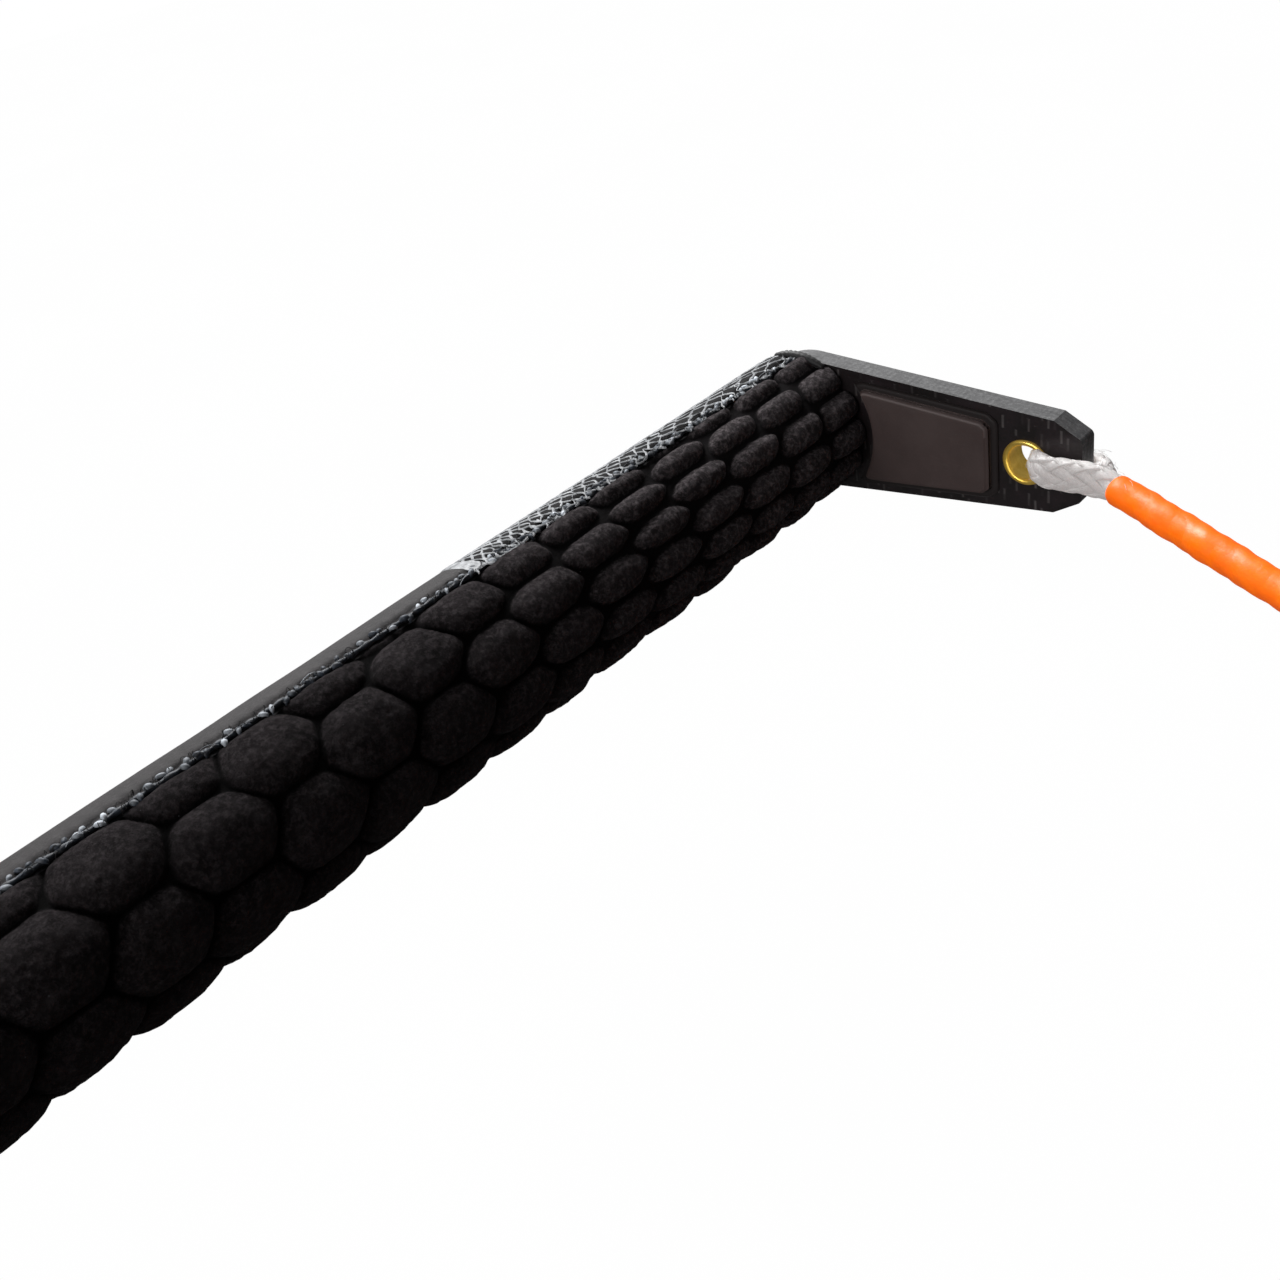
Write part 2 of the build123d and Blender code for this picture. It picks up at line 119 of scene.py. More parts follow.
def numbers(rows, columns, start=0, closed=False):
    """The vertex numbers of a grid stored row by row; closed repeats the first column after the last."""
    grid = start + np.arange(rows * columns).reshape(rows, columns)
    return np.hstack([grid, grid[:, :1]]) if closed else grid


def quads(grid):
    """Four-sided faces over a grid of vertex numbers."""
    corners = np.stack([grid[:-1, :-1], grid[:-1, 1:], grid[1:, 1:], grid[1:, :-1]], axis=-1)
    return [tuple(q) for q in corners.reshape(-1, 4).tolist()]


def strip(a, b):
    """The faces between two lines of vertex numbers."""
    return quads(np.stack([a, b]))


def flip(faces):
    return [f[::-1] for f in faces]


def point_attribute(piece, name, values):
    """Stores one number per vertex for the material to read."""
    attribute = piece.data.attributes.new(name, "FLOAT", "POINT")
    attribute.data.foreach_set("value", np.asarray(values, np.float32))


class Soup:
    """Collects small shapes in one mesh. Each vertex has a tone, and a place along its strand for ropes."""

    def __init__(self, *first):
        self.vertices = []
        self.faces = []
        self.tone = []
        self.along = []
        if first:
            self.add(*first)

    def add(self, vertices, faces, tone=0.0, along=0.0):
        base = len(self.vertices)
        self.vertices.extend(tuple(v) for v in vertices)
        self.faces.extend(tuple(base + i for i in f) for f in faces)
        self.tone.extend(np.broadcast_to(tone, (len(vertices),)))
        self.along.extend(np.broadcast_to(along, (len(vertices),)))

    def build_pair(self, name, body, finish, node):
        """The left end's piece and its mirror image."""
        return [
            self.build(f"{side}_{name}", body, finish, f"{side}_{node}", side == "right") for side in SIDES
        ]

    def build(self, name, body, finish, node, mirrored=False):
        vertices = [(-x, y, z) for x, y, z in self.vertices] if mirrored else self.vertices
        faces = flip(self.faces) if mirrored else self.faces
        piece = make_piece(name, vertices, faces, body, finish, node)
        point_attribute(piece, "tone", self.tone)
        if finish is ROPE:
            point_attribute(piece, "along", self.along)
        return piece


def path_frames(points, up):
    """Tangent, side and lift directions along a path; lift stays as near to up as it can."""
    tangents = np.gradient(points, axis=0)
    tangents /= np.linalg.norm(tangents, axis=1)[:, None]
    side = np.cross(tangents, np.broadcast_to(np.asarray(up, float), points.shape))
    side /= np.linalg.norm(side, axis=1)[:, None]
    return tangents, side, np.cross(side, tangents)


def rings(points, radii, sides, up=UP, flat=1.0):
    """Rings of vertices round a path: one radius for all, per ring, or per vertex. flat scales the lift."""
    points = np.asarray(points, float)
    _, side, lift = path_frames(points, up)
    angles = np.arange(sides) * tau / sides
    ring = np.cos(angles)[:, None] * side[:, None] + flat * np.sin(angles)[:, None] * lift[:, None]
    return (points[:, None] + np.asarray(radii)[..., None] * ring).reshape(-1, 3)


def tube(points, radii, sides=8, up=UP, flat=1.0):
    """A closed tube along a path, with one radius per point or one in all."""
    count = len(points)
    radii = np.broadcast_to(radii, (count,))[:, None]
    faces = flip(quads(numbers(count, sides, closed=True)))
    faces.append(tuple(range(sides)))
    faces.append(tuple(reversed(range((count - 1) * sides, count * sides))))
    return rings(points, radii, sides, up, flat), faces


def bezier(points, steps):
    """A smooth curve through points (centripetal Catmull-Rom), with steps samples per span."""
    p = np.asarray(points, float)
    p = np.vstack([2 * p[0] - p[1], p, 2 * p[-1] - p[-2]])
    gaps = np.maximum(np.linalg.norm(np.diff(p, axis=0), axis=1), 1e-9) ** 0.5
    out = []
    for i in range(len(p) - 3):
        knots = np.concatenate([[0.0], np.cumsum(gaps[i:i + 3])])
        t = np.linspace(knots[1], knots[2], steps, endpoint=False)[:, None]

        def between(a, b, start, end):
            share = (t - knots[a]) / (knots[b] - knots[a])
            return (1 - share) * start + share * end

        first = [between(k, k + 1, p[i + k], p[i + k + 1]) for k in range(3)]
        second = [between(k, k + 2, first[k], first[k + 1]) for k in range(2)]
        out.append(between(1, 2, *second))
    return np.vstack([*out, p[-2]])


def arc_lengths(points):
    """Distance along a path at each of its points."""
    return np.concatenate([[0], np.cumsum(np.linalg.norm(np.diff(points, axis=0), axis=1))])


def resample(points, step):
    """The same path with evenly spaced points about step apart."""
    lengths = arc_lengths(points)
    wanted = np.linspace(0, lengths[-1], max(2, ceil(lengths[-1] / step) + 1))
    return np.stack([np.interp(wanted, lengths, points[:, k]) for k in range(3)], axis=1)


# ---- Materials ----

class Finish:
    """One node material, or the world, with short calls for the nodes that they share."""

    def __init__(self, name, owners=bpy.data.materials, space="Object"):
        self.name = name
        self.material = owners.new(name)
        self.material.use_nodes = True
        self.tree = self.material.node_tree
        self.where = self.tree.nodes.new("ShaderNodeTexCoord").outputs[space]

    def node(self, kind, inputs, **settings):
        node = self.tree.nodes.new(kind)
        for key, value in settings.items():
            setattr(node, key, value)
        for key, value in inputs.items():
            self.give(node.inputs[key], value)
        return node

    def give(self, socket, value):
        """Links an output to a socket, or sets its value; colours are given without alpha."""
        if isinstance(value, bpy.types.NodeSocket):
            self.tree.links.new(value, socket)
        else:
            socket.default_value = (*value, 1.0) if socket.type == "RGBA" else value

    def set(self, colour, roughness, **inputs):
        """Sets the surface's inputs; an underscore in a name stands for a space."""
        inputs.update({"Base Color": colour, "Roughness": roughness})
        for key, value in inputs.items():
            self.give(self.tree.nodes["Principled BSDF"].inputs[key.replace("_", " ")], value)

    def noise(self, scale, detail=4.0, roughness=0.6, where=None):
        inputs = {"Vector": where or self.where, "Scale": scale, "Detail": detail, "Roughness": roughness}
        return self.node("ShaderNodeTexNoise", inputs).outputs["Fac"]

    def streaks(self, scale, detail, roughness, turn=(0.0, 0.0, 0.0)):
        """Noise with its own scale along each axis, after an optional turn."""
        inputs = {"Vector": self.where, "Scale": scale, "Rotation": turn}
        return self.noise(1.0, detail, roughness, self.node("ShaderNodeMapping", inputs).outputs[0])

    def specks(self, scale):
        return self.node("ShaderNodeTexVoronoi", {"Vector": self.where, "Scale": scale}).outputs["Distance"]

    def attribute(self, name):
        return self.node("ShaderNodeAttribute", {}, attribute_name=name).outputs["Fac"]

    def camera_ray(self):
        return self.node("ShaderNodeLightPath", {}).outputs["Is Camera Ray"]

    def axis(self, letter, vector=None):
        """One coordinate of the texture position or of another vector."""
        return self.node("ShaderNodeSeparateXYZ", {"Vector": vector or self.where}).outputs[letter]

    def combine(self, x, y):
        return self.node("ShaderNodeCombineXYZ", {"X": x, "Y": y}).outputs[0]

    def math(self, operation, a, b=0.0):
        return self.node("ShaderNodeMath", {0: a, 1: b}, operation=operation).outputs[0]

    def times(self, a, b):
        return self.math("MULTIPLY", a, b)

    def ramp(self, value, low, high, start=0.0, end=1.0):
        """Maps value from start..end to low..high, held at both ends."""
        inputs = {0: value, 1: start, 2: end, 3: low, 4: high}
        return self.node("ShaderNodeMapRange", inputs, clamp=True).outputs[0]

    def mix(self, share, a, b):
        """Mixes two colours by share."""
        return self.node("ShaderNodeMix", {0: share, 6: a, 7: b}, data_type="RGBA").outputs[2]

    def fade(self, value, start, end, a, b, most=1):
        """Colour a up to start, then towards b, which has the share most from end on."""
        return self.mix(self.ramp(value, 0, most, start, end), a, b)

    def bump(self, *layers):
        """Stacks (height, distance in millimetres, strength) layers into the surface's normal."""
        inputs = {}
        for height, distance, strength in layers:
            inputs.update({"Height": height, "Distance": distance * MM, "Strength": strength})
            inputs["Normal"] = self.node("ShaderNodeBump", inputs).outputs["Normal"]
        self.give(self.tree.nodes["Principled BSDF"].inputs["Normal"], inputs["Normal"])


def suede_finish():
    """Black napped suede: matte and fibrous, with grey worn mottling on the crowns, greyer near the ears,
    some lint, and painted shade in the valleys between the pebbles.
    """
    f = Finish("pebbled_suede")
    groove = f.attribute("groove")
    blotches = f.noise(240, 5, 0.66)
    nap = f.noise(1150, 6, 0.78)
    near_ear = f.ramp(f.math("ABSOLUTE", f.axis("X")), 0, 1, 65 * MM, 135 * MM)
    crown = f.fade(blotches, 0.36, 0.66, (0.0050, 0.0040, 0.0045), (0.0240, 0.0202, 0.0215))
    crown = f.mix(f.ramp(near_ear, 0, 0.6), crown, (0.056, 0.0487, 0.0511))
    wear_and_painted_highlight = f.mix(near_ear, (0.068, 0.058, 0.062), (0.230, 0.201, 0.209))
    # painted shade: the valleys between the pebbles are near black, a little less so near the ears
    valley = f.mix(near_ear, (0.0030, 0.0026, 0.0028), (0.0140, 0.0122, 0.0130))
    suede = f.fade(groove, 0.02, 0.40, valley, f.fade(nap, 0.46, 0.68, crown, wear_and_painted_highlight))
    lint = f.times(f.math("LESS_THAN", f.specks(620), 0.05), f.math("GREATER_THAN", blotches, 0.58))
    f.set(f.mix(lint, suede, (0.16, 0.16, 0.17)), f.ramp(nap, 0.85, 1.0), Specular_IOR_Level=0.08,
          Sheen_Weight=f.ramp(groove, 0.0, 0.10, 0.3, 1.0), Sheen_Roughness=0.45,
          Sheen_Tint=(0.60, 0.52, 0.55))
    f.bump((f.noise(1200, 8, 0.8), 0.34, 0.9), (nap, 1.3, 0.8), (f.noise(420, 4, 0.6), 0.5, 0.5))
    return f


def back_finish():
    """The grip's back: matte synthetic leather with a dense grain, inked black under the nets."""
    f = Finish("back_panel")
    grain = f.noise(2000, 6, 0.78)
    base = f.fade(f.noise(120, 5, 0.6), 0.3, 0.7, (0.0130, 0.0112, 0.0120), (0.026, 0.0225, 0.0238))
    # pale flecks on the grain: partly dust and partly painted sheen on the grain's tips
    base = f.fade(grain, 0.50, 0.76, base, (0.092, 0.083, 0.086), 0.75)
    inked = f.ramp(f.math("ABSOLUTE", f.axis("X")), 0, 0.8, NET_START - 0.5 * MM, NET_START + 0.5 * MM)
    f.set(f.mix(inked, base, (0.0035, 0.0035, 0.0042)), f.ramp(grain, 0.62, 0.8), Sheen_Roughness=0.5,
          Sheen_Weight=f.ramp(inked, 0.1, 0.0), Specular_IOR_Level=f.ramp(inked, 0.22, 0.03))
    f.bump((grain, 0.11, 0.7), (f.specks(1400), 0.06, 0.4))
    return f


def thread_finish():
    """Stitching thread: mostly navy, with grey-blue and nearly white tones that are partly light thread and
    partly painted glints; negative tones are black.
    """
    f = Finish("seam_thread")
    tone = f.attribute("tone")
    mottle = f.noise(1300, 4, 0.6)
    blue = f.fade(mottle, 0.35, 0.65, (0.005, 0.006, 0.010), (0.045, 0.06, 0.085))
    thread = f.fade(tone, 0.35, 0.95, blue, (0.66, 0.71, 0.77))
    black = f.ramp(tone, 1, 0, -1.0, -0.5)
    f.set(f.mix(black, thread, (0.0035, 0.0030, 0.0034)), 0.6, Sheen_Weight=0.1)
    f.bump((mottle, 0.08, 0.8))
    return f


def net_finish():
    """Fine silver-white net lines, worn to grey in places."""
    f = Finish("net_print")
    f.set(f.fade(f.noise(500, 5, 0.7), 0.36, 0.6, (0.12, 0.125, 0.135), (0.49, 0.505, 0.525)), 0.6)
    f.bump((f.noise(3000, 3, 0.6), 0.04, 0.4))
    return f


def carbon_finish(tow=1.15 * MM):
    """The plate: satin 2x2 twill whose upright tows catch the light as short streaks, and sanded edges."""
    f = Finish("carbon_plate")
    wobble = f.times(f.math("SUBTRACT", f.noise(120, 2, 0.5), 0.5), 0.5 * MM)
    column, row = [f.math("DIVIDE", f.math("ADD", f.axis(a), wobble), tow) for a in "YZ"]
    diagonal = f.math("ADD", f.math("FLOOR", column), f.math("FLOOR", row))
    over = f.math("LESS_THAN", f.math("MODULO", f.math("ADD", diagonal, 4000.0), 4.0), 1.5)
    column_edge, row_edge = [
        f.math("ABSOLUTE", f.math("SUBTRACT", f.math("FRACT", place), 0.5)) for place in (column, row)
    ]
    tow_number = f.combine(f.math("FLOOR", column), f.math("FLOOR", f.math("DIVIDE", row, 2.0)))
    chance = f.node("ShaderNodeTexWhiteNoise", {"Vector": tow_number}).outputs["Value"]
    lit = f.times(over, f.ramp(chance, 0, 1, 0.55, 1.0))
    lit = f.times(lit, f.ramp(column_edge, 1, 0, 0.08, 0.26))
    lit = f.times(lit, f.ramp(f.streaks((300, 5200, 420), 3, 0.7), 0.35, 1.0, 0.3, 0.7))
    resin = f.fade(f.noise(210, 3, 0.6), 0.4, 0.62, (0.0105, 0.0080, 0.0080), (0.020, 0.0135, 0.0155))
    twill = f.mix(lit, resin, (0.13, 0.118, 0.118))
    layers = f.streaks((5200, 260, 260), 4, 0.7)
    cut = f.fade(layers, 0.36, 0.64, (0.072, 0.072, 0.074), (0.128, 0.128, 0.131))
    cut = f.fade(f.noise(1500, 5, 0.78), 0.48, 0.72, cut, (0.25, 0.25, 0.255), 0.8)
    dark = f.ramp(f.streaks((900, 160, 160), 4, 0.7), 0.5, 0, 0.30, 0.46)
    cut = f.mix(dark, cut, (0.024, 0.023, 0.023))
    normal = f.node("ShaderNodeNewGeometry", {}).outputs["Normal"]
    on_face = f.math("GREATER_THAN", f.math("ABSOLUTE", f.axis("X", normal)), 0.7)
    f.set(f.mix(on_face, cut, twill), f.ramp(on_face, 0.62, 0.34), Coat_Weight=f.ramp(on_face, 0.0, 0.2),
          Coat_Roughness=0.28)
    upright = f.times(over, f.ramp(column_edge, 1, 0, 0.0, 0.5))
    level = f.times(f.math("SUBTRACT", 1.0, over), f.ramp(row_edge, 1, 0, 0.0, 0.5))
    fibres = f.streaks((300, 420, 5200), 3, 0.7)
    f.bump((f.math("ADD", upright, level), 0.06, 0.35), (layers, 0.05, 0.3), (fibres, 0.02, 0.3))
    return f


def turned_finish(name, low, high, roughness, metallic=1.0):
    """A cut or turned surface with fine lines across the bar."""
    f = Finish(name)
    lines = f.streaks((5000, 600, 600), 4, 0.6)
    f.set(f.mix(lines, low, high), f.ramp(lines, roughness - 0.08, roughness + 0.08), Metallic=metallic)
    f.bump((lines, 0.04, 0.4))
    return f


def foam_finish(name, low, high):
    """Closed-cell foam."""
    f = Finish(name)
    cells = f.specks(1500)
    f.set(f.mix(cells, low, high), 0.9)
    f.bump((cells, 0.15, 0.6))
    return f


def pad_finish():
    """Moulded rubber: smooth, warm dark grey, with a painted highlight along the body's upper rim, a flange
    painted near black as shade round the raised body, and faint scuffs.
    """
    f = Finish("pad_rubber")
    tone = f.attribute("tone")
    cloud = f.noise(130, 4, 0.6)
    grain = f.noise(3200, 4, 0.7)
    scuff = f.streaks((200, 120, 700), 5, 0.72, (radians(20), 0, 0))
    base = f.fade(cloud, 0.35, 0.66, (0.068, 0.046, 0.0440), (0.084, 0.059, 0.0560))
    base = f.fade(grain, 0.55, 0.8, base, (0.13, 0.10, 0.095), 0.35)
    base = f.fade(scuff, 0.60, 0.72, base, (0.12, 0.096, 0.09), 0.28)
    # painted highlight: the tone lightens the body's upper rim
    base = f.fade(tone, 0.5, 1.0, base, (0.21, 0.17, 0.165), 0.45)
    # painted shade: a tone of -1 paints the flange near black, as the shade round the raised body
    flange = f.ramp(tone, 1, 0, -1.0, 0.0)
    f.set(f.mix(flange, base, (0.019, 0.014, 0.014)), f.ramp(cloud, 0.5, 0.62), Specular_IOR_Level=0.35)
    f.bump((grain, 0.03, 0.5), (f.noise(260, 3, 0.5), 0.12, 0.3))
    return f


def brass_finish():
    """Rolled brass: polished, with fine turning lines and darker, greener stains in patches."""
    f = Finish("eyelet_brass")
    stain = f.noise(420, 5, 0.65)
    base = f.fade(stain, 0.38, 0.66, (0.66, 0.44, 0.07), (0.93, 0.68, 0.17))
    # painted reflection: a faint gold glow stands for bright surroundings mirrored in the brass
    f.set(base, f.ramp(stain, 0.38, 0.28, 0.35, 0.65), Metallic=1.0,
          Emission_Color=(0.80, 0.50, 0.09), Emission_Strength=0.14)
    f.bump((f.streaks((5200, 500, 500), 4, 0.6), 0.012, 0.4), (stain, 0.02, 0.25))
    return f


def rope_finish():
    """Waxy grey-white braid: half translucent fibres that run along each strand."""
    f = Finish("grey_rope")
    place = f.combine(f.times(f.attribute("tone"), 330.0), f.times(f.attribute("along"), 14.0))
    fibres = f.noise(1.0, 5, 0.7, place)
    cloud = f.noise(330, 4, 0.6)
    base = f.fade(fibres, 0.3, 0.7, (0.56, 0.51, 0.50), (0.86, 0.83, 0.82))
    base = f.fade(cloud, 0.5, 0.75, base, (0.52, 0.47, 0.46), 0.45)
    # painted light: a faint white glow brightens the rope
    f.set(base, f.ramp(fibres, 0.36, 0.55), Emission_Color=(1.0, 0.95, 0.93), Emission_Strength=0.10,
          Subsurface_Weight=0.7, Subsurface_Radius=(1.0, 0.9, 0.9), Subsurface_Scale=1.0 * MM)
    f.bump((fibres, 0.07, 0.7), (cloud, 0.1, 0.25))
    return f


def sleeve_finish():
    """Bright orange coating: waxy gloss in soft broken patches over the braid's lumps."""
    f = Finish("orange_sleeve")
    cloud = f.noise(150, 4, 0.55)
    patches = f.noise(420, 5, 0.6)
    base = f.fade(cloud, 0.35, 0.65, (1.0, 0.145, 0.0), (1.0, 0.180, 0.0))
    dirt = f.times(f.math("LESS_THAN", f.specks(260), 0.07), f.math("GREATER_THAN", cloud, 0.6))
    base = f.mix(f.times(dirt, 0.45), base, (0.62, 0.06, 0.004))
    # the orange glow is partly the coating's fluorescence and partly painted light that keeps its shaded side
    # bright
    f.set(base, f.ramp(patches, 0.40, 0.60, 0.35, 0.65), Specular_IOR_Level=0.42,
          Emission_Color=(1.0, 0.10, 0.0), Emission_Strength=0.25,
          Subsurface_Weight=0.12, Subsurface_Radius=(1.0, 0.2, 0.02), Subsurface_Scale=0.8 * MM)
    f.bump((patches, 0.35, 0.5), (f.noise(1100, 4, 0.6), 0.08, 0.4))
    return f


def shrink_finish():
    """Black shrunk tubing: satin, with the rope's braid pressing through."""
    f = Finish("black_shrink")
    cloud = f.noise(300, 4, 0.6)
    base = f.fade(cloud, 0.3, 0.7, (0.011, 0.011, 0.012), (0.022, 0.022, 0.023))
    f.set(base, f.ramp(cloud, 0.36, 0.5), Specular_IOR_Level=0.45)
    f.bump((cloud, 0.1, 0.4), (f.noise(2000, 3, 0.6), 0.03, 0.4))
    return f


def floor_finish():
    """A plain pale sweep: evenly white to the camera, and dim to the object, so its underside stays dark."""
    f = Finish("pale_floor")
    tint = f.mix(f.noise(3, 2, 0.5), (0.99, 0.99, 0.99), (1.0, 1.0, 1.0))
    seen = f.node("ShaderNodeEmission", {"Color": tint, "Strength": 1.0}).outputs[0]
    felt = f.node("ShaderNodeBsdfDiffuse", {"Color": (0.12, 0.12, 0.12)}).outputs[0]
    mixed = f.node("ShaderNodeMixShader", {0: f.camera_ray(), 1: felt, 2: seen}).outputs[0]
    f.give(f.tree.nodes["Material Output"].inputs["Surface"], mixed)
    return f


SUEDE = suede_finish()
BACK = back_finish()
THREAD = thread_finish()
NET = net_finish()
CARBON = carbon_finish()
PAD = pad_finish()
BRASS = brass_finish()
ROPE = rope_finish()
SLEEVE = sleeve_finish()
SHRINK = shrink_finish()
STEEL = turned_finish("screw_steel", (0.42, 0.42, 0.43), (0.62, 0.62, 0.64), 0.3)
PLUG = turned_finish("plug_metal", (0.5, 0.5, 0.52), (0.7, 0.7, 0.72), 0.4)
CAD_FINISHES = {
    "bar_tube": turned_finish("carbon_tube", (0.02, 0.02, 0.022), (0.07, 0.07, 0.072), 0.5, 0.0),
    "core_foam": foam_finish("core_foam", (0.55, 0.54, 0.50), (0.75, 0.74, 0.70)),
    "grip_foam": foam_finish("grip_foam", (0.012, 0.012, 0.013), (0.03, 0.03, 0.032)),
}
for side in SIDES:
    CAD_FINISHES[f"{side}_ear"] = CARBON
    CAD_FINISHES[f"{side}_ear_screws"] = STEEL
    CAD_FINISHES[f"{side}_eyelet_washer"] = BRASS
    CAD_FINISHES[f"{side}_end_plug"] = PLUG
for node, finish in CAD_FINISHES.items():
    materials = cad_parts[node].data.materials
    materials.clear()
    materials.append(finish.material)


# ---- Grip: pebbled front panel ----

CELL_ANCHOR = radians(9.0)      # the lattice is centred on this line of the front panel
END_PITCH = radians(24.5)       # spacing round the bar of the narrow cells near the ears
MIDDLE_PITCH = radians(56.0)    # and of the broad cells in the middle
LAST_PITCH = radians(28.0)      # the cells open up a little again at the very end
COLUMN_PITCH = 12.1 * MM        # spacing of the cell columns along the bar
FIRST_COLUMN = 5.2 * MM         # from the grip's end to the first column
COLUMNS = 27
ROWS_EACH_WAY = 7               # enough cells either way round from the anchor to pass the panel's edges
DISORDER = 0.06                 # how far a cell strays, as a share of the spacing
END_SHIFT = 1.9 * MM            # the columns next to each ear lie this much nearer to it
END_SLIP = (-9.8, 7.0, 2.3)     # and their cells sit this many degrees further round
PANEL_EDGE = radians(88.0)
GROOVE_DEPTH = 1.88 * MM
VALLEY = 0.06 * MM              # half width of the flat floor between broad cells
END_VALLEY = 0.34 * MM          # and how much wider it is between narrow ones
NEIGHBOURS = 5                  # the nearest cells, counting a point's own
CORNER_SHARPNESS = 1.5 / MM
GRID_STEP = 0.36 * MM
CHUNK = 20000                   # grid points worked out at a time


def cell_pitch(distance):
    """Spacing round the bar between the cells of a column, by its distance from the grip's end."""
    rise = smooth((distance - 50 * MM) / (75 * MM))
    opening = smooth(1 - distance / (40 * MM))
    return END_PITCH + rise * (MIDDLE_PITCH - END_PITCH) + opening * (LAST_PITCH - END_PITCH)


def cell_centres():
    """(x, angle, spacing round the bar) of every cell, with a little disorder."""
    first = -GRIP_END + FIRST_COLUMN
    left_columns = round(-first / COLUMN_PITCH)
    middle = first + left_columns * COLUMN_PITCH
    right_pitch = (-first - middle) / (COLUMNS - 1 - left_columns)
    cells = []
    for k in range(COLUMNS):
        beyond = max(k - left_columns, 0)
        x = first + (k - beyond) * COLUMN_PITCH + beyond * right_pitch
        distance = GRIP_END - abs(x)
        pitch = cell_pitch(distance)
        x += (-END_SHIFT if x < 0 else END_SHIFT) * smooth((68 * MM - distance) / (43 * MM))
        order = min(k, COLUMNS - 1 - k)
        slip = radians(END_SLIP[order]) if order < len(END_SLIP) else 0.0
        for j in range(-ROWS_EACH_WAY, ROWS_EACH_WAY + 1):
            angle = CELL_ANCHOR + slip + pitch * (j + 0.5 * (k % 2))
            if abs(angle) < PANEL_EDGE + 0.75 * pitch:
                nudge = rng.uniform(-DISORDER, DISORDER, 2)
                cells.append((x + nudge[0] * COLUMN_PITCH, angle + nudge[1] * pitch, pitch))
    return np.array(cells)


def edge_distance(x, angle, cells):
    """Each point's distance to the nearest groove, its place in its cell (0 to 1), and the cell's pitch."""
    half_x = 0.60 * COLUMN_PITCH
    half_s = cells[:, 2] * GRIP_RADIUS * 0.52
    dx = x[:, None] - cells[:, 0]
    ds = (angle * GRIP_RADIUS)[:, None] - cells[:, 1] * GRIP_RADIUS
    q = (dx / half_x) ** 2 + (ds / half_s) ** 2
    slope_x = 2 * dx / half_x**2
    slope_s = 2 * ds / half_s**2
    order = np.argpartition(q, NEIGHBOURS, axis=1)[:, :NEIGHBOURS]
    rows = np.arange(len(x))
    own = order[rows, np.argmin(np.take_along_axis(q, order, axis=1), axis=1)]
    # soft minimum of the distances to the borders with the nearest neighbours
    total = np.zeros(len(x))
    for other in order.T:
        steep = np.hypot(slope_x[rows, other] - slope_x[rows, own], slope_s[rows, other] - slope_s[rows, own])
        border = (q[rows, other] - q[rows, own]) / (steep + 1e-9)
        total += np.where(other == own, 0.0, np.exp(-CORNER_SHARPNESS * np.clip(border, 0, 0.05)))
    distance = -np.log(total + 1e-12) / CORNER_SHARPNESS
    return np.maximum(distance, 0.0), np.sqrt(q[rows, own]), cells[own, 2]


def value_noise(x, y, scale, seed):
    """Smooth noise in -1..1 over a plane."""
    count = 64
    table = np.random.default_rng(seed).uniform(-1, 1, (count, count))
    u, v = x / scale, y / scale
    i, j = np.floor(u).astype(int), np.floor(v).astype(int)
    s, t = smooth(u - i), smooth(v - j)

    def row(k):
        return table[i % count, k % count] * (1 - s) + table[(i + 1) % count, k % count] * s

    return row(j) * (1 - t) + row(j + 1) * t


def pillow_height(x, angle, cells):
    """Height of the pebbled surface over its valleys, 0 to 1, and how open each point lies."""
    arc = angle * GRIP_RADIUS
    edge, spread, pitch = edge_distance(x, angle, cells)
    edge = edge + 0.12 * MM * value_noise(x, arc, 1.3 * MM, 3)
    breadth = (pitch - END_PITCH) / (MIDDLE_PITCH - END_PITCH)
    shoulder = (2.1 + 1.7 * breadth) * MM
    valley = VALLEY + END_VALLEY * np.clip(1 - breadth, 0, 1)
    rise = np.clip((edge - valley) / shoulder, 0, 1)
    bulge = np.sqrt(1 - (1 - rise) ** 2.1) * smooth(rise / 0.18 + 0.22)
    height = bulge * np.clip(1 - (0.52 - 0.14 * breadth) * spread**2, 0, 1)
    at_seam = np.sqrt(1 - falloff((PANEL_EDGE - np.abs(angle)) * GRIP_RADIUS, 2.6 * MM) ** 2)
    height = height * at_seam * (1 - 0.08 * falloff(GRIP_END - np.abs(x), 1.8 * MM) ** 2)
    height = height + 0.07 * value_noise(x, arc, 2.6 * MM, 5) * bulge
    height = height + 0.06 * value_noise(x, arc, 0.85 * MM, 6) * (0.3 + 0.7 * bulge)
    return np.clip(height, 0, 1.0), bulge * at_seam


def on_bar(x, angle, radius):
    """Points at an angle and a radius round the bar; each of the three may be an array."""
    return np.stack(np.broadcast_arrays(x, radius * np.cos(angle), radius * np.sin(angle)), axis=-1)


def panel_shell(name, node, finish, x, angles, radii):
    """A closed curved panel: an outer surface of radii over a grid, and a plain inner surface."""
    rows, columns = len(x), len(angles)
    few = np.linspace(0, columns - 1, 13).round().astype(int)
    outside = on_bar(x[:, None], angles, radii).reshape(-1, 3)
    inside = on_bar(x[:, None], angles[few], PANEL_INNER).reshape(-1, 3)
    outer, inner = numbers(rows, columns), numbers(rows, len(few), rows * columns)
    faces = flip(quads(outer)) + quads(inner)
    faces += strip(outer[:, 0], inner[:, 0]) + strip(inner[:, -1], outer[:, -1])
    faces.append((*outer[0].tolist(), *inner[0, ::-1].tolist()))
    faces.append((*inner[-1].tolist(), *outer[-1, ::-1].tolist()))
    return make_piece(name, np.vstack([outside, inside]), faces, "handle", finish, node)


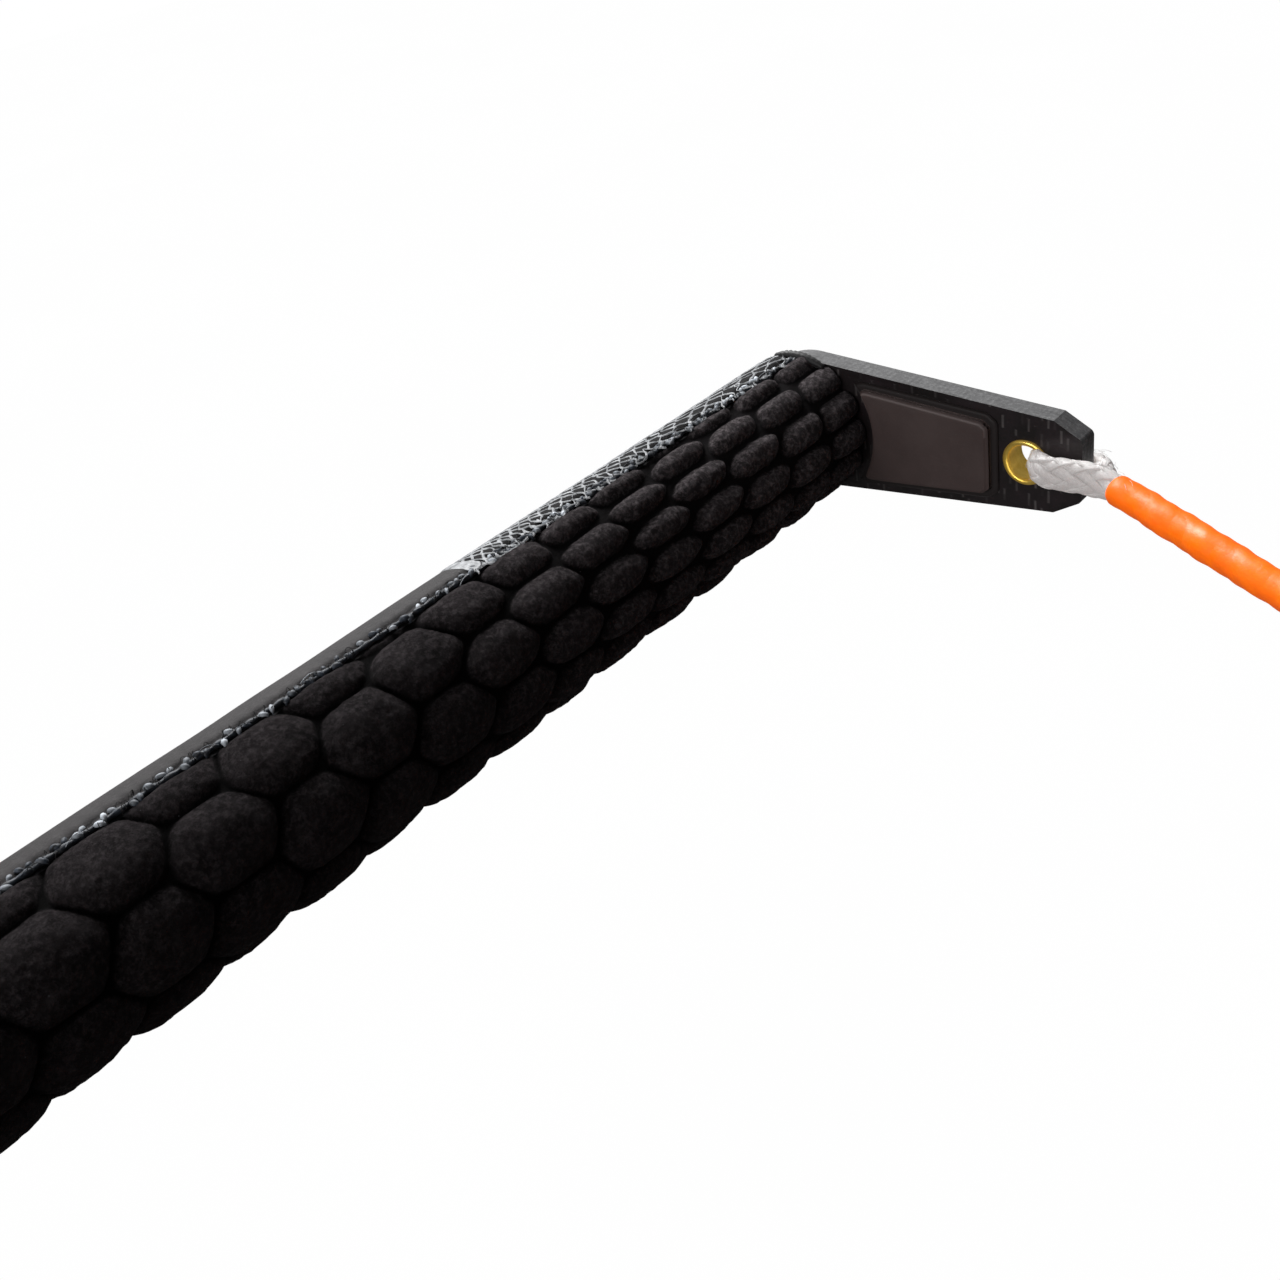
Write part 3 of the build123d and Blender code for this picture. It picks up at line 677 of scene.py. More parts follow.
def grip_front():
    """The pebbled panel round the front of the bar."""
    cells = cell_centres()
    x = np.linspace(-GRIP_END, GRIP_END, round(2 * GRIP_END / GRID_STEP) + 1)
    angles = np.linspace(-PANEL_EDGE, PANEL_EDGE, round(2 * PANEL_EDGE * GRIP_RADIUS / GRID_STEP) + 1)
    gx, ga = (grid.ravel() for grid in np.meshgrid(x, angles, indexing="ij"))
    height = np.empty(gx.size)
    openness = np.empty(gx.size)
    for start in range(0, gx.size, CHUNK):
        part = slice(start, start + CHUNK)
        near = cells[np.abs(cells[:, 0] - gx[part].mean()) < 3.5 * COLUMN_PITCH]
        height[part], openness[part] = pillow_height(gx[part], ga[part], near)
    radii = GRIP_RADIUS - GROOVE_DEPTH * (1 - height.reshape(len(x), len(angles)))
    piece = panel_shell("grip_front_panel_suede", "grip_front_panel", SUEDE, x, angles, radii)
    # the groove attribute tells the suede where to paint shade in its valleys
    groove = np.zeros(len(piece.data.vertices))
    groove[:gx.size] = openness
    point_attribute(piece, "groove", groove)


# ---- Grip: back panel, seams and nets ----

STITCH = 2.5 * MM               # length of one seam stitch
CORD_RADIUS = 12.9 * MM         # from the bar's axis to the cord under the stitches
ROLL_RADIUS = 13.42 * MM        # and to the rolls that bind the panels' ends
STITCH_SKIPPED = 0.18           # share of the stitches that are sunk out of sight
LOOSE_THREADS = 40
DARK_FIBRES = 420


def back_radius(x, angle):
    """The smooth back panel's radius: flat, but rolled in and puckered beside each seam."""
    seam = (PANEL_EDGE - np.abs(angle - pi)) * BACK_RADIUS
    roll = 0.75 * MM * falloff(seam, 1.5 * MM) ** 2
    pucker = 0.16 * MM * np.exp(-seam / (1.6 * MM)) * np.cos(tau * x / STITCH)
    sag = 0.07 * MM * value_noise(x, angle * BACK_RADIUS, 9 * MM, 11)
    ends = 0.12 * MM * falloff(GRIP_END - np.abs(x), 1.2 * MM) ** 2
    return BACK_RADIUS - 0.09 * MM - roll + pucker + sag - ends


def grip_back():
    """The smooth panel round the back of the bar."""
    x = np.linspace(-GRIP_END, GRIP_END, round(2 * GRIP_END / (0.5 * MM)) + 1)
    angles = np.linspace(pi - PANEL_EDGE, pi + PANEL_EDGE, 84)
    radii = back_radius(x[:, None], angles[None, :])
    panel_shell("grip_back_panel_leather", "grip_back_panel", BACK, x, angles, radii)


def seam(name, node, middle):
    """Small uneven stitches, half sunk over a dark cord, and loose threads, along one joint of the panels."""
    soup = Soup()
    x = np.linspace(-GRIP_END + 0.3 * MM, GRIP_END - 0.3 * MM, 900)
    tack = smooth(1 - (GRIP_END - np.abs(x)) / (3 * MM))
    bead = (0.40 + 0.10 * np.cos(tau * x / STITCH) + 0.5 * tack) * MM
    soup.add(*tube(on_bar(x, middle, CORD_RADIUS), bead), -0.6)
    count = int(2 * (GRIP_END - 1 * MM) / STITCH)
    t = np.linspace(-1, 1, 9)
    for k in range(count):
        # each stitch's pale tone is partly light thread and partly a painted glint
        bright = rng.uniform(0.0, 1.0) ** 0.7
        for row in (-1, 1):
            if rng.uniform() < STITCH_SKIPPED:
                continue
            x = (k + 0.5 - count / 2) * STITCH + row * rng.uniform(0.35, 0.75) * MM
            length = rng.uniform(0.5, 0.85) * MM
            slant = row * radians(rng.uniform(25, 70))
            angle = middle + radians(rng.uniform(-3.6, 3.8)) + length * t * sin(slant) / (13 * MM)
            radius = (rng.uniform(13.08, 13.38) - 0.55 * t**4) * MM
            thick = rng.uniform(0.30, 0.46) * MM * np.sqrt(1.04 - t**2)
            # painted highlight and shade: each stitch is paler at its crest and darker where its ends sink in
            tone = np.repeat(bright * (1 - 0.5 * t**2), 7)
            soup.add(*tube(on_bar(x + length * t * cos(slant), angle, radius), thick, 7), tone)
    t = np.linspace(0, 1, 10)
    for _ in range(LOOSE_THREADS):
        x = rng.uniform(-GRIP_END + 5 * MM, GRIP_END - 5 * MM)
        turn = rng.uniform(-1, 1, 3)
        angle = middle + np.radians(2.5 * turn[0] + 4 * turn[1] * t**2)
        radius = (13.15 + 0.5 * np.sin(pi * t) * (1 + 0.6 * turn[2])) * MM
        soup.add(*tube(on_bar(x + 3.2 * MM * t, angle, radius), 0.055 * MM, 5), rng.uniform(0.1, 0.8))
    t = np.linspace(0, 1, 6)
    for _ in range(DARK_FIBRES):
        x = rng.uniform(-GRIP_END + 2 * MM, GRIP_END - 2 * MM)
        turn = rng.uniform(-1, 1, 3)
        angle = middle + np.radians(4 * turn[1] + 4 * turn[2] * t)
        radius = (13.0 + 0.75 * np.sin(pi * t)) * MM
        soup.add(*tube(on_bar(x + 1.1 * MM * turn[0] * t, angle, radius), 0.05 * MM, 4), -1.0)
    # a dark roll binds the panels' ends at each ear
    sweep = np.linspace(62, 108, 26)
    swell = (0.86 * np.sin(pi * (sweep - 59) / 52) ** 0.4 + 0.10 * np.sin(1.9 * sweep)) * MM
    for end in (-1, 1):
        angle = np.copysign(np.radians(sweep), middle)
        roll = on_bar(end * (GRIP_END - 0.8 * MM), angle, ROLL_RADIUS)
        soup.add(*tube(roll, swell, 10, up=(1, 0, 0)), -1.0)
    soup.build(name, "handle", THREAD, node)


NET_CELL_END = 2.5 * MM         # spacing of the net's lines near the ear
NET_CELL_MIDDLE = 1.0 * MM      # and at the net's inner edge
NET_LINE = 0.130 * MM           # half width of a line near the ear
NET_FIRST = radians(87.5)       # the net hangs a little over the seams
NET_LANES = 30
NET_WAVE = 0.42                 # how far a line swings, and strays, as a share of the spacing
NET_FLOOR = 13.3 * MM           # the net never sinks nearer to the bar's axis than this


def net_spacing(share):
    """Line spacing along the net; share runs from 0 at the ear to 1 at its inner edge."""
    return NET_CELL_END + (NET_CELL_MIDDLE - NET_CELL_END) * smooth(share * 1.05)


def ribbon(soup, points, width, lift=0.16 * MM):
    """A slim rounded ribbon that follows the back panel: points are (x, angle) pairs."""
    points = np.asarray(points, float)
    run = np.gradient(points * (1.0, BACK_RADIUS), axis=0)
    run /= np.linalg.norm(run, axis=1)[:, None] + 1e-12
    across = np.array([-1.0, -0.55, 0.55, 1.0]) * np.broadcast_to(width, (len(points),))[:, None]
    x = points[:, :1] - across * run[:, 1:]
    angle = points[:, 1:] + across * run[:, :1] / BACK_RADIUS
    radius = np.maximum(back_radius(x, angle), NET_FLOOR) + lift * np.array([-0.12, 0.75, 0.75, -0.12])
    grid = numbers(len(points), 4)
    faces = flip(quads(grid)) + strip(grid[:, 0], grid[:, 3])
    faces += [tuple(grid[0].tolist()), tuple(grid[-1, ::-1].tolist())]
    soup.add(on_bar(x, angle, radius).reshape(-1, 3), faces, 0.6)


def grip_net(side):
    """The fine net on the back panel beside an ear: scale-shaped cells that get finer inwards."""
    low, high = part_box(f"{side}_grip_net")
    sign = -1 if side == "left" else 1
    start = max(abs(low.x), abs(high.x))
    length = high.x - low.x
    local = np.random.default_rng(21)
    soup = Soup()
    stations = [0.9 * MM]
    while stations[-1] < length - 3.6 * MM:
        stations.append(stations[-1] + net_spacing(stations[-1] / length))
    stations.pop()
    lanes = np.linspace(NET_FIRST, tau - NET_FIRST, NET_LANES)
    offsets = local.uniform(-NET_WAVE, NET_WAVE, (len(stations), NET_LANES))

    def place(row, lane):
        """Where one crossing line passes one lane; neighbouring lanes alternate, like scales."""
        wave = NET_WAVE if (lane + row) % 2 else -NET_WAVE
        d = stations[row] + net_spacing(stations[row] / length) * (wave + offsets[row, lane])
        return sign * (start - min(max(d, 0.3 * MM), length - 3.0 * MM))

    def line(points, steps):
        return bezier([(x, angle, 0) for x, angle in points], steps)[:, :2]

    for row, d in enumerate(stations):
        half = NET_LINE * (1 + 0.25 * smooth((d / length - 0.55) / 0.4))
        crossing = line([(place(row, lane), lanes[lane]) for lane in range(NET_LANES)], 5)
        ribbon(soup, crossing, half * (1 + 0.55 * np.sin(np.arange(len(crossing)) * 0.63 + 2.3 * row)))
        for lane in range(1, NET_LANES - 1):
            if (lane + row) % 2 and row + 1 < len(stations) and local.uniform() > 0.3:
                a, b = place(row, lane), place(row + 1, lane)
                lean = radians(local.uniform(-4.0, 4.0))
                strut = [(a, lanes[lane]), ((a + b) / 2, lanes[lane] + lean), (b, lanes[lane])]
                ribbon(soup, line(strut, 4), 0.85 * half)
        for edge, outward in ((0, -1), (NET_LANES - 1, 1)):
            x, angle = place(row, edge), lanes[edge]
            reach = radians(local.uniform(1.0, 4.2)) * outward
            curl = local.uniform(-1.3, 1.3) * MM
            tail = [(x, angle), (x + 0.3 * curl, angle + 0.7 * reach), (x + curl, angle + reach)]
            ribbon(soup, line(tail, 4), 0.8 * half, 0.3 * MM)
    # solid hem at the net's inner edge
    inner = sign * (start - length + 3.9 * MM)
    hem = [(inner + sign * 0.3 * MM * sin(9 * a), a) for a in np.linspace(lanes[0], lanes[-1], 90)]
    ribbon(soup, hem, 1.35 * MM, 0.2 * MM)
    soup.build(f"{side}_grip_net_lines", "handle", NET, f"{side}_grip_net")


grip_front()
grip_back()
seam("upper_seam_stitches", "upper_seam", radians(90.0))
seam("lower_seam_stitches", "lower_seam", radians(-90.0))
for side in SIDES:
    grip_net(side)


# ---- Ears' fittings: pads and eyelets ----

PAD_REAR_CUT = 15.0 * MM        # the pad's rear edge follows the grip at this radius
PAD_TAPER = radians(4.85)       # slope of the pad's long edges
PAD_COLUMNS, PAD_ROWS = 61, 45


def ear_pads():
    """The moulded rubber pads: a thin flange, and a crowned body with a rounded rim and a slight dish."""
    low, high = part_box("left_ear_pad")
    depth = high.y - low.y
    u, v = np.meshgrid(np.linspace(0, 1, PAD_COLUMNS), np.linspace(-1, 1, PAD_ROWS), indexing="ij")
    soup = Soup()

    def slab(inset, corner, bottom, height, edge, wear_and_painted_highlight):
        """A closed slab over the pad's outline drawn in by inset, with rounded corners and rim."""
        z = v * (high.z - inset - depth * tan(PAD_TAPER) * u)
        back = np.sqrt(np.maximum((PAD_REAR_CUT + 0.6 * inset) ** 2 - z * z, 0.0))
        y = back + (high.y - inset - back) * u
        from_side = (1 - np.abs(v)) * high.z
        from_end = np.minimum(u, 1 - u) * depth
        du, dv = falloff(from_end, corner), falloff(from_side, corner)
        pull = corner * (1 - np.maximum(du, dv) / np.maximum(np.hypot(du, dv), 1e-9)) * (du * dv > 0)
        y = y - np.sign(u - 0.5) * du * pull
        z = z - np.sign(v) * dv * pull
        fall = falloff(np.minimum(from_side, from_end), edge)
        x = low.x + bottom + height - 0.85 * edge * (1 - np.sqrt(1 - fall**2))
        upper, lower = numbers(PAD_COLUMNS, PAD_ROWS), numbers(PAD_COLUMNS, PAD_ROWS, u.size)
        faces = quads(upper) + flip(quads(lower))
        faces += strip(lower[:, 0], upper[:, 0]) + strip(upper[:, -1], lower[:, -1])
        faces += strip(upper[0], lower[0]) + strip(lower[-1], upper[-1])
        # painted highlight along the body's upper rim only; the flange gets a tone of -1, painted near black
        # as shade
        tone = np.sin(pi * np.clip(fall * 1.3, 0, 1)) * (v > 0.6) if wear_and_painted_highlight else np.full(u.shape, -1.0)
        level = np.full(u.shape, low.x + bottom)
        points = np.stack([np.stack([x, level]), np.stack([y, y]), np.stack([z, z])], axis=-1)
        soup.add(points.reshape(-1, 3), faces, np.tile(tone.ravel(), 2))

    crown = high.x - low.x - 0.36 * MM + 0.06 * MM * np.sin(3.0 * u + 2.0 * v + 2.0)
    crown = crown - 0.25 * MM * (1 - u) ** 2
    slab(0.0, 2.6 * MM, 0.0, 0.42 * MM, 0.25 * MM, False)
    slab(1.25 * MM, 1.9 * MM, 0.30 * MM, crown, 0.75 * MM, True)
    soup.build_pair("ear_pad_rubber", "handle", PAD, "ear_pad")


def eyelets():
    """The brass eyelets: barrels whose two ends roll over into rounded lips."""
    roll = 0.45 * MM
    throat, outer = EYELET_RADIUS - 0.88 * MM, EYELET_RADIUS + 0.12 * MM
    inner_face, outer_face = EYELET_HIGH.x - roll, EYELET_LOW.x + roll
    turn = np.linspace(0, pi, 15)
    across = (throat + outer) / 2 - (outer - throat) / 2 * np.cos(turn)
    t = np.linspace(0, 1, 8)[1:-1]
    barrel = throat + 0.35 * MM
    bore = outer_face + (inner_face - outer_face) * t
    x = np.concatenate([inner_face + roll * np.sin(turn), [inner_face, outer_face],
                        outer_face - roll * np.sin(turn[::-1]), bore])
    r = np.concatenate([across, [barrel, barrel], across[::-1], throat + 0.10 * MM * np.sin(pi * t)])
    angle = tau * np.arange(96)[:, None] / 96
    r = r * (1 + 0.004 * np.sin(3 * angle + 0.6) + 0.003 * np.sin(7 * angle))
    vertices = on_bar(x, angle, r) + (0, GROMMET_Y, 0)
    grid = numbers(*r.shape, closed=True)
    barrel_shape = Soup(vertices.reshape(-1, 3), quads(np.vstack([grid, grid[:1]])))
    return barrel_shape.build_pair("eyelet_brass", "handle", BRASS, "eyelet")


ear_pads()
BRIGHT_PIECES = eyelets()       # pieces that the fill light reaches


# ---- Ropes ----

ROPE_RADIUS = 2.3 * MM
SLEEVE_RADIUS = 2.6 * MM
SLEEVE_BORE = 2.35 * MM
STRAND_FLATNESS = 0.34 * MM     # half thickness of one woven strand
STRAND_SIDES = 8

# The leg's middle line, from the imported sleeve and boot
APEX_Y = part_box("splice_core")[0].y
MERGE = Vector((EAR_MIDDLE + 6.4 * MM, GROMMET_Y + 17.5 * MM, 0))
APEX = Vector((0, APEX_Y, 0))
LEG_SAG = 4.0 * MM
LEG_CHORD = (APEX - MERGE).length
LEG_BEND = (LEG_CHORD**2 / 4 + LEG_SAG**2) / (2 * LEG_SAG)
LEG_HALF_ANGLE = asin(LEG_CHORD / 2 / LEG_BEND)
LEG_LENGTH = 2 * LEG_HALF_ANGLE * LEG_BEND
LEG_LIFT = 0.9 * MM             # how far the pull lifts a leg just in front of its eyelet
BOOT_ARM = 24.0 * MM


def core(soup, path, radius, up):
    """A plain core inside a braid, so that no light shows through it."""
    soup.add(*tube(path, radius, 10, up), 0.3)


def braid(soup, path, width, thickness, up, turn_length, half=8, phase=0.0):
    """A hollow braid along a path: `half` flat strands wind each way, over two and under two.

    width and thickness are the rope's half sizes across and along the lift direction, one value
    per path point or one for all.
    """
    width, thickness, along = np.broadcast_arrays(width, thickness, arc_lengths(path))
    _, side, lift = path_frames(path, up)
    girth = pi * (width + thickness)
    strand_half = 0.5 * girth / half * cos(atan2(girth.mean(), turn_length))
    flat = STRAND_FLATNESS / strand_half.mean()
    for hand in (1, -1):
        for k in range(half):
            angle = hand * tau * along / turn_length + tau * k / half + phase
            over = hand * np.cos(tau * (hand * 2 * half * along / turn_length + 2 * k - 0.5) / 4)
            inset = (0.50 - 0.15 * over) * MM
            across, through = np.cos(angle)[:, None] * side, np.sin(angle)[:, None] * lift
            centre = path + (width - inset)[:, None] * across + (thickness - inset)[:, None] * through
            outward = across / width[:, None] + through / thickness[:, None]
            outward /= np.linalg.norm(outward, axis=1)[:, None]
            tone = rng.uniform(0, 1) + 0.012 * np.tile(np.arange(STRAND_SIDES), len(path))
            place = np.repeat(along / (6 * MM) + rng.uniform(0, 9), STRAND_SIDES)
            soup.add(*tube(centre, strand_half, STRAND_SIDES, outward, flat), tone, place)
    core(soup, path, np.minimum(width, thickness) - 0.55 * MM, up)


def fuzz(soup, path, width, thickness, up, count):
    """Stray fibres that lift off a rope's surface."""
    tangent, side, lift = path_frames(path, up)
    t = np.linspace(0, 1, 7)[:, None]
    for _ in range(count):
        i = int(rng.integers(2, len(path) - 3))
        angle, lean, rise = rng.uniform(0, tau), rng.uniform(-1, 1), rng.uniform(0.1, 0.45) * MM
        across, through = cos(angle) * side[i], sin(angle) * lift[i]
        base = path[i] + (width - 0.15 * MM) * across + (thickness - 0.15 * MM) * through
        run = tangent[i] + 0.6 * lean * np.cross(across + through, tangent[i])
        points = base + run * t * 2.2 * MM + (across + through) * rise * np.sin(pi * t * 0.8)
        soup.add(*tube(points, 0.035 * MM, 5, across + through), 0.8)


def leg_point(distance):
    """A point on the left leg's sagging middle line, distance from where its strands merge."""
    angle = distance / LEG_BEND - LEG_HALF_ANGLE
    share = 0.5 + LEG_BEND * sin(angle) / LEG_CHORD
    drop = LEG_BEND * (cos(angle) - cos(LEG_HALF_ANGLE))
    point = MERGE + share * (APEX - MERGE)
    return (point.x, point.y, LEG_LIFT * (1 - smooth(distance / (90 * MM))) - drop)


def eye_path(side):
    """Middle line of one strand of the eye, side 1 inside the ear and -1 outside, to the leg."""
    offset, bend_y = 5.3, 6.8
    rise = 0.7 if side > 0 else -2.0
    turns = [radians(t) for t in np.linspace(0, 90, 9)]
    # millimetres from the eyelet's centre
    points = [(side * offset * sin(t), bend_y - offset * cos(t), rise * sin(t)) for t in turns]
    if side > 0:
        points += [(offset + 0.3, 12.0, 1.1)]
    else:
        points += [(0.3 - offset, 10.0, -2.0), (-0.9, 13.0, -1.3)]
    points = [(EAR_MIDDLE + x * MM, GROMMET_Y + y * MM, z * MM) for x, y, z in points]
    return resample(bezier([*points, leg_point(0.0), leg_point(4.0 * MM)], 10), 0.35 * MM)


def leg_rope(side):
    """The pale braid through an eyelet: two flattened strands that join under the sleeve."""
    soup = Soup()
    for strand in (1, -1):
        path = eye_path(strand)
        share = np.linspace(0, 1, len(path))
        merge = smooth((share - 0.66) / 0.24)
        squeeze = 1 - smooth(share / 0.18)
        if strand > 0:
            width = (2.85 - 0.60 * squeeze - 0.65 * merge) * MM
            thick = (1.62 - 0.36 * squeeze + 0.45 * merge) * MM
        else:
            width = (1.95 + 0.25 * squeeze) * MM
            thick = (1.45 - 0.19 * squeeze + 0.20 * merge) * MM
        # lift points away from the plate, so that the strand's wide way lies along Z
        lift = np.cross(np.gradient(path, axis=0), UP)
        lift /= np.linalg.norm(lift, axis=1)[:, None]
        braid(soup, path, width, thick, lift, 25 * MM, 6, 0.4 * strand)
        fuzz(soup, path, 2.6 * MM, 1.6 * MM, lift, 60)
    # the spliced leg inside the sleeve
    hidden = [leg_point(d) for d in np.linspace(2.0 * MM, LEG_LENGTH - 7 * MM, 80)]
    core(soup, hidden, ROPE_RADIUS - 0.1 * MM, UP)
    soup.build(f"{side}_leg_rope_braid", "bridle", ROPE, f"{side}_leg_rope", side == "right")


def sheath(points, radius, bore, lump, period, sides=40, edge=0.8 * MM):
    """A hollow covering along a path, lumpy where the braid under it shows, with rounded cut ends."""
    count = len(points)
    along = arc_lengths(points)
    angles = np.arange(sides) * tau / sides
    wave = tau * along[:, None] / period
    r = np.broadcast_to(radius, (count,))[:, None] - lump
    r = r + lump * (np.sin(wave + angles) + np.sin(wave - angles + 1.0))
    r = r + 0.4 * lump * (np.sin(wave / 4.3 + 2 * angles + 0.7) + np.sin(wave / 0.41 + 3 * angles + 2.1))
    r = r - 0.22 * MM * falloff(np.minimum(along, along[-1] - along), edge)[:, None] ** 2
    outer, inner = numbers(count, sides, 0, True), numbers(count, sides, count * sides, True)
    faces = flip(quads(outer)) + quads(inner) + strip(outer[0], inner[0]) + strip(inner[-1], outer[-1])
    return np.vstack([rings(points, r, sides), rings(points, bore, sides)]), faces


def leg_sleeves():
    """The glossy coated sleeves on the legs."""
    line = [leg_point(d) for d in np.arange(0.7 * MM, LEG_LENGTH - BOOT_ARM - 0.5 * MM, 0.7 * MM)]
    coat = Soup(*sheath(line, SLEEVE_RADIUS + 0.04 * MM, SLEEVE_BORE, 0.14 * MM, 9.3 * MM))
    return coat.build_pair("leg_sleeve_coat", "bridle", SLEEVE, "leg_sleeve")


for side in SIDES:
    leg_rope(side)
BRIGHT_PIECES += leg_sleeves()


# ---- Tow end: boot, tow line, and loop ----

TOW_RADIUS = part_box("splice_core")[1].x
BOOT_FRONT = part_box("apex_boot")[1].y
CUFF_LOW, CUFF_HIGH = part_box("link_cuff")
CUFF_MIDDLE = (CUFF_LOW.y + CUFF_HIGH.y) / 2
LOOP_LOW, LOOP_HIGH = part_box("tow_loop_rope")
YAW_Y = LOOP_LOW.y + TOW_RADIUS
THROAT_LOW, THROAT_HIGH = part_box("throat_shrink")
STRAND_START = THROAT_HIGH.y - 10 * MM
LOOP_HALF = LOOP_HIGH.x - ROPE_RADIUS
BIGHT_Y = LOOP_HIGH.y - ROPE_RADIUS - LOOP_HALF


def straight(start, end, step=0.5 * MM):
    """Points along the tow line's axis."""
    return np.array([(0, y, 0) for y in np.linspace(start, end, round(abs(end - start) / step) + 1)])


def apex_boot():
    """The Y-shaped shrunk cover: three tubes drawn together into one soft, slightly lumpy skin."""
    soup = Soup()
    reach = np.linspace(LEG_LENGTH - BOOT_ARM, LEG_LENGTH + 1.5 * MM, 40)
    swell = 3.45 * MM + 0.35 * MM * smooth((reach - reach[0]) / (12 * MM))
    for side in (1, -1):
        soup.add(*tube([leg_point(d) for d in reach] * np.array([side, 1, 1]), swell, 24))
    soup.add(*tube(straight(APEX_Y - 1 * MM, BOOT_FRONT), 4.15 * MM, 28))
    shape = add_mesh("boot_draft", soup.vertices, soup.faces)
    skin = shape.modifiers.new("skin", "REMESH")
    skin.mode = "VOXEL"
    skin.voxel_size = 0.42 * MM
    soften = shape.modifiers.new("soften", "SMOOTH")
    soften.factor = 0.6
    soften.iterations = 14
    evaluated = shape.evaluated_get(bpy.context.evaluated_depsgraph_get())
    mesh = bpy.data.meshes.new_from_object(evaluated)
    bpy.data.objects.remove(shape)
    points, normals = (np.array([getattr(v, key) for v in mesh.vertices]) for key in ("co", "normal"))
    x, y, z = points.T
    ridge = 0.07 * MM * np.sin(tau * y / (3.1 * MM) + 5 * np.arctan2(z, x + 1e-9))
    points = points + normals * (ridge + 0.10 * MM * value_noise(x, y, 2.6 * MM, 31))[:, None]
    faces = [tuple(p.vertices) for p in mesh.polygons]
    make_piece("apex_boot_skin", points, faces, "bridle", SHRINK, "apex_boot")


def tow_line(name, node, start, end):
    """A straight length of braid over one stretch of the tow line."""
    soup = Soup()
    line = straight(start, end)
    braid(soup, line, TOW_RADIUS, TOW_RADIUS, UP, 24 * MM)
    fuzz(soup, line, TOW_RADIUS, TOW_RADIUS, UP, 40)
    piece = soup.build(name, None, ROPE, node)
    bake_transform(piece)


def shrink_cover(name, node, body, start, end, radius):
    """A shrunk tube on the tow line, drawn in at both ends."""
    line = straight(start, end, 0.4 * MM)
    along = arc_lengths(line)
    tail = np.minimum(along, along[-1] - along)
    radii = radius - 0.45 * MM * (1 - smooth(tail / (3.5 * MM)))
    cover = Soup(*sheath(line, radii, TOW_RADIUS - 0.5 * MM, 0.08 * MM, 4.4 * MM, edge=0.5 * MM))
    cover.build(name, body, SHRINK, node)


def loop_path():
    """Middle line of the tow loop, from one strand in the throat round to the other."""
    throat_x, front = 1.5 * MM, THROAT_HIGH.y + 1 * MM
    side = [(throat_x, y, 0) for y in np.linspace(STRAND_START, front, 12)[:-1]]
    for t in np.linspace(0, 1, 40)[:-1]:
        side.append((throat_x + (LOOP_HALF - throat_x) * smooth(t), front + (BIGHT_Y - front) * t, 0))
    bight = [(LOOP_HALF * cos(a), BIGHT_Y + LOOP_HALF * sin(a), 0) for a in np.linspace(0, pi, 61)]
    other = [(-x, y, z) for x, y, z in reversed(side)]
    return resample(np.array(side + bight + other), 0.5 * MM)


def tow_loop():
    """The braided loop and the orange sleeve that takes the wear at its bight."""
    rope = Soup()
    path = loop_path()
    braid(rope, path, ROPE_RADIUS, ROPE_RADIUS, UP, 22 * MM)
    fuzz(rope, path, ROPE_RADIUS, ROPE_RADIUS, UP, 160)
    core(rope, straight(YAW_Y + 6 * MM, STRAND_START), TOW_RADIUS - 0.2 * MM, UP)
    rope.build("tow_loop_braid", "tow_loop", ROPE, "tow_loop_rope")
    sweep = np.linspace(radians(78), radians(-78), 61)
    arc = [(LOOP_HALF * sin(a), BIGHT_Y + LOOP_HALF * cos(a), 0) for a in sweep]
    coat = Soup(*sheath(arc, 2.85 * MM, SLEEVE_BORE, 0.10 * MM, 6.5 * MM, sides=32))
    coat.build("loop_chafe_sleeve_coat", "tow_loop", SLEEVE, "loop_chafe_sleeve")


apex_boot()
tow_line("tow_line_rear", "splice_core", APEX_Y + 2 * MM, CUFF_MIDDLE)
tow_line("tow_line_front", "link_rope", CUFF_MIDDLE, THROAT_LOW.y + 3 * MM)
shrink_cover("link_cuff_skin", "link_cuff", "tow_link", CUFF_LOW.y, CUFF_HIGH.y, 3.6 * MM)
shrink_cover("throat_skin", "throat_shrink", "tow_loop", THROAT_LOW.y, THROAT_HIGH.y, 4.6 * MM)
tow_loop()


# ---- Stage: floor, light and camera ----

FLOOR_HALF = 6.0
FLOOR_DROP = -0.60              # well below the object, so that nothing reaches the floor at any pose
AMBIENT_REAR = 0.26             # how bright the surroundings are to the object, behind it
AMBIENT_FRONT = 0.055           # and in front
LIGHT_TARGET = Vector((-0.15, 0.05, 0))
KEY_TARGET = Vector((-0.1, 0.05, 0))


def stage_floor():
    """A wide pale floor."""
    line = np.linspace(-FLOOR_HALF, FLOOR_HALF, 9)
    floor = add_mesh("floor", [(x, y, FLOOR_DROP) for x in line for y in line], flip(quads(numbers(9, 9))))
    floor.data.materials.append(floor_finish().material)


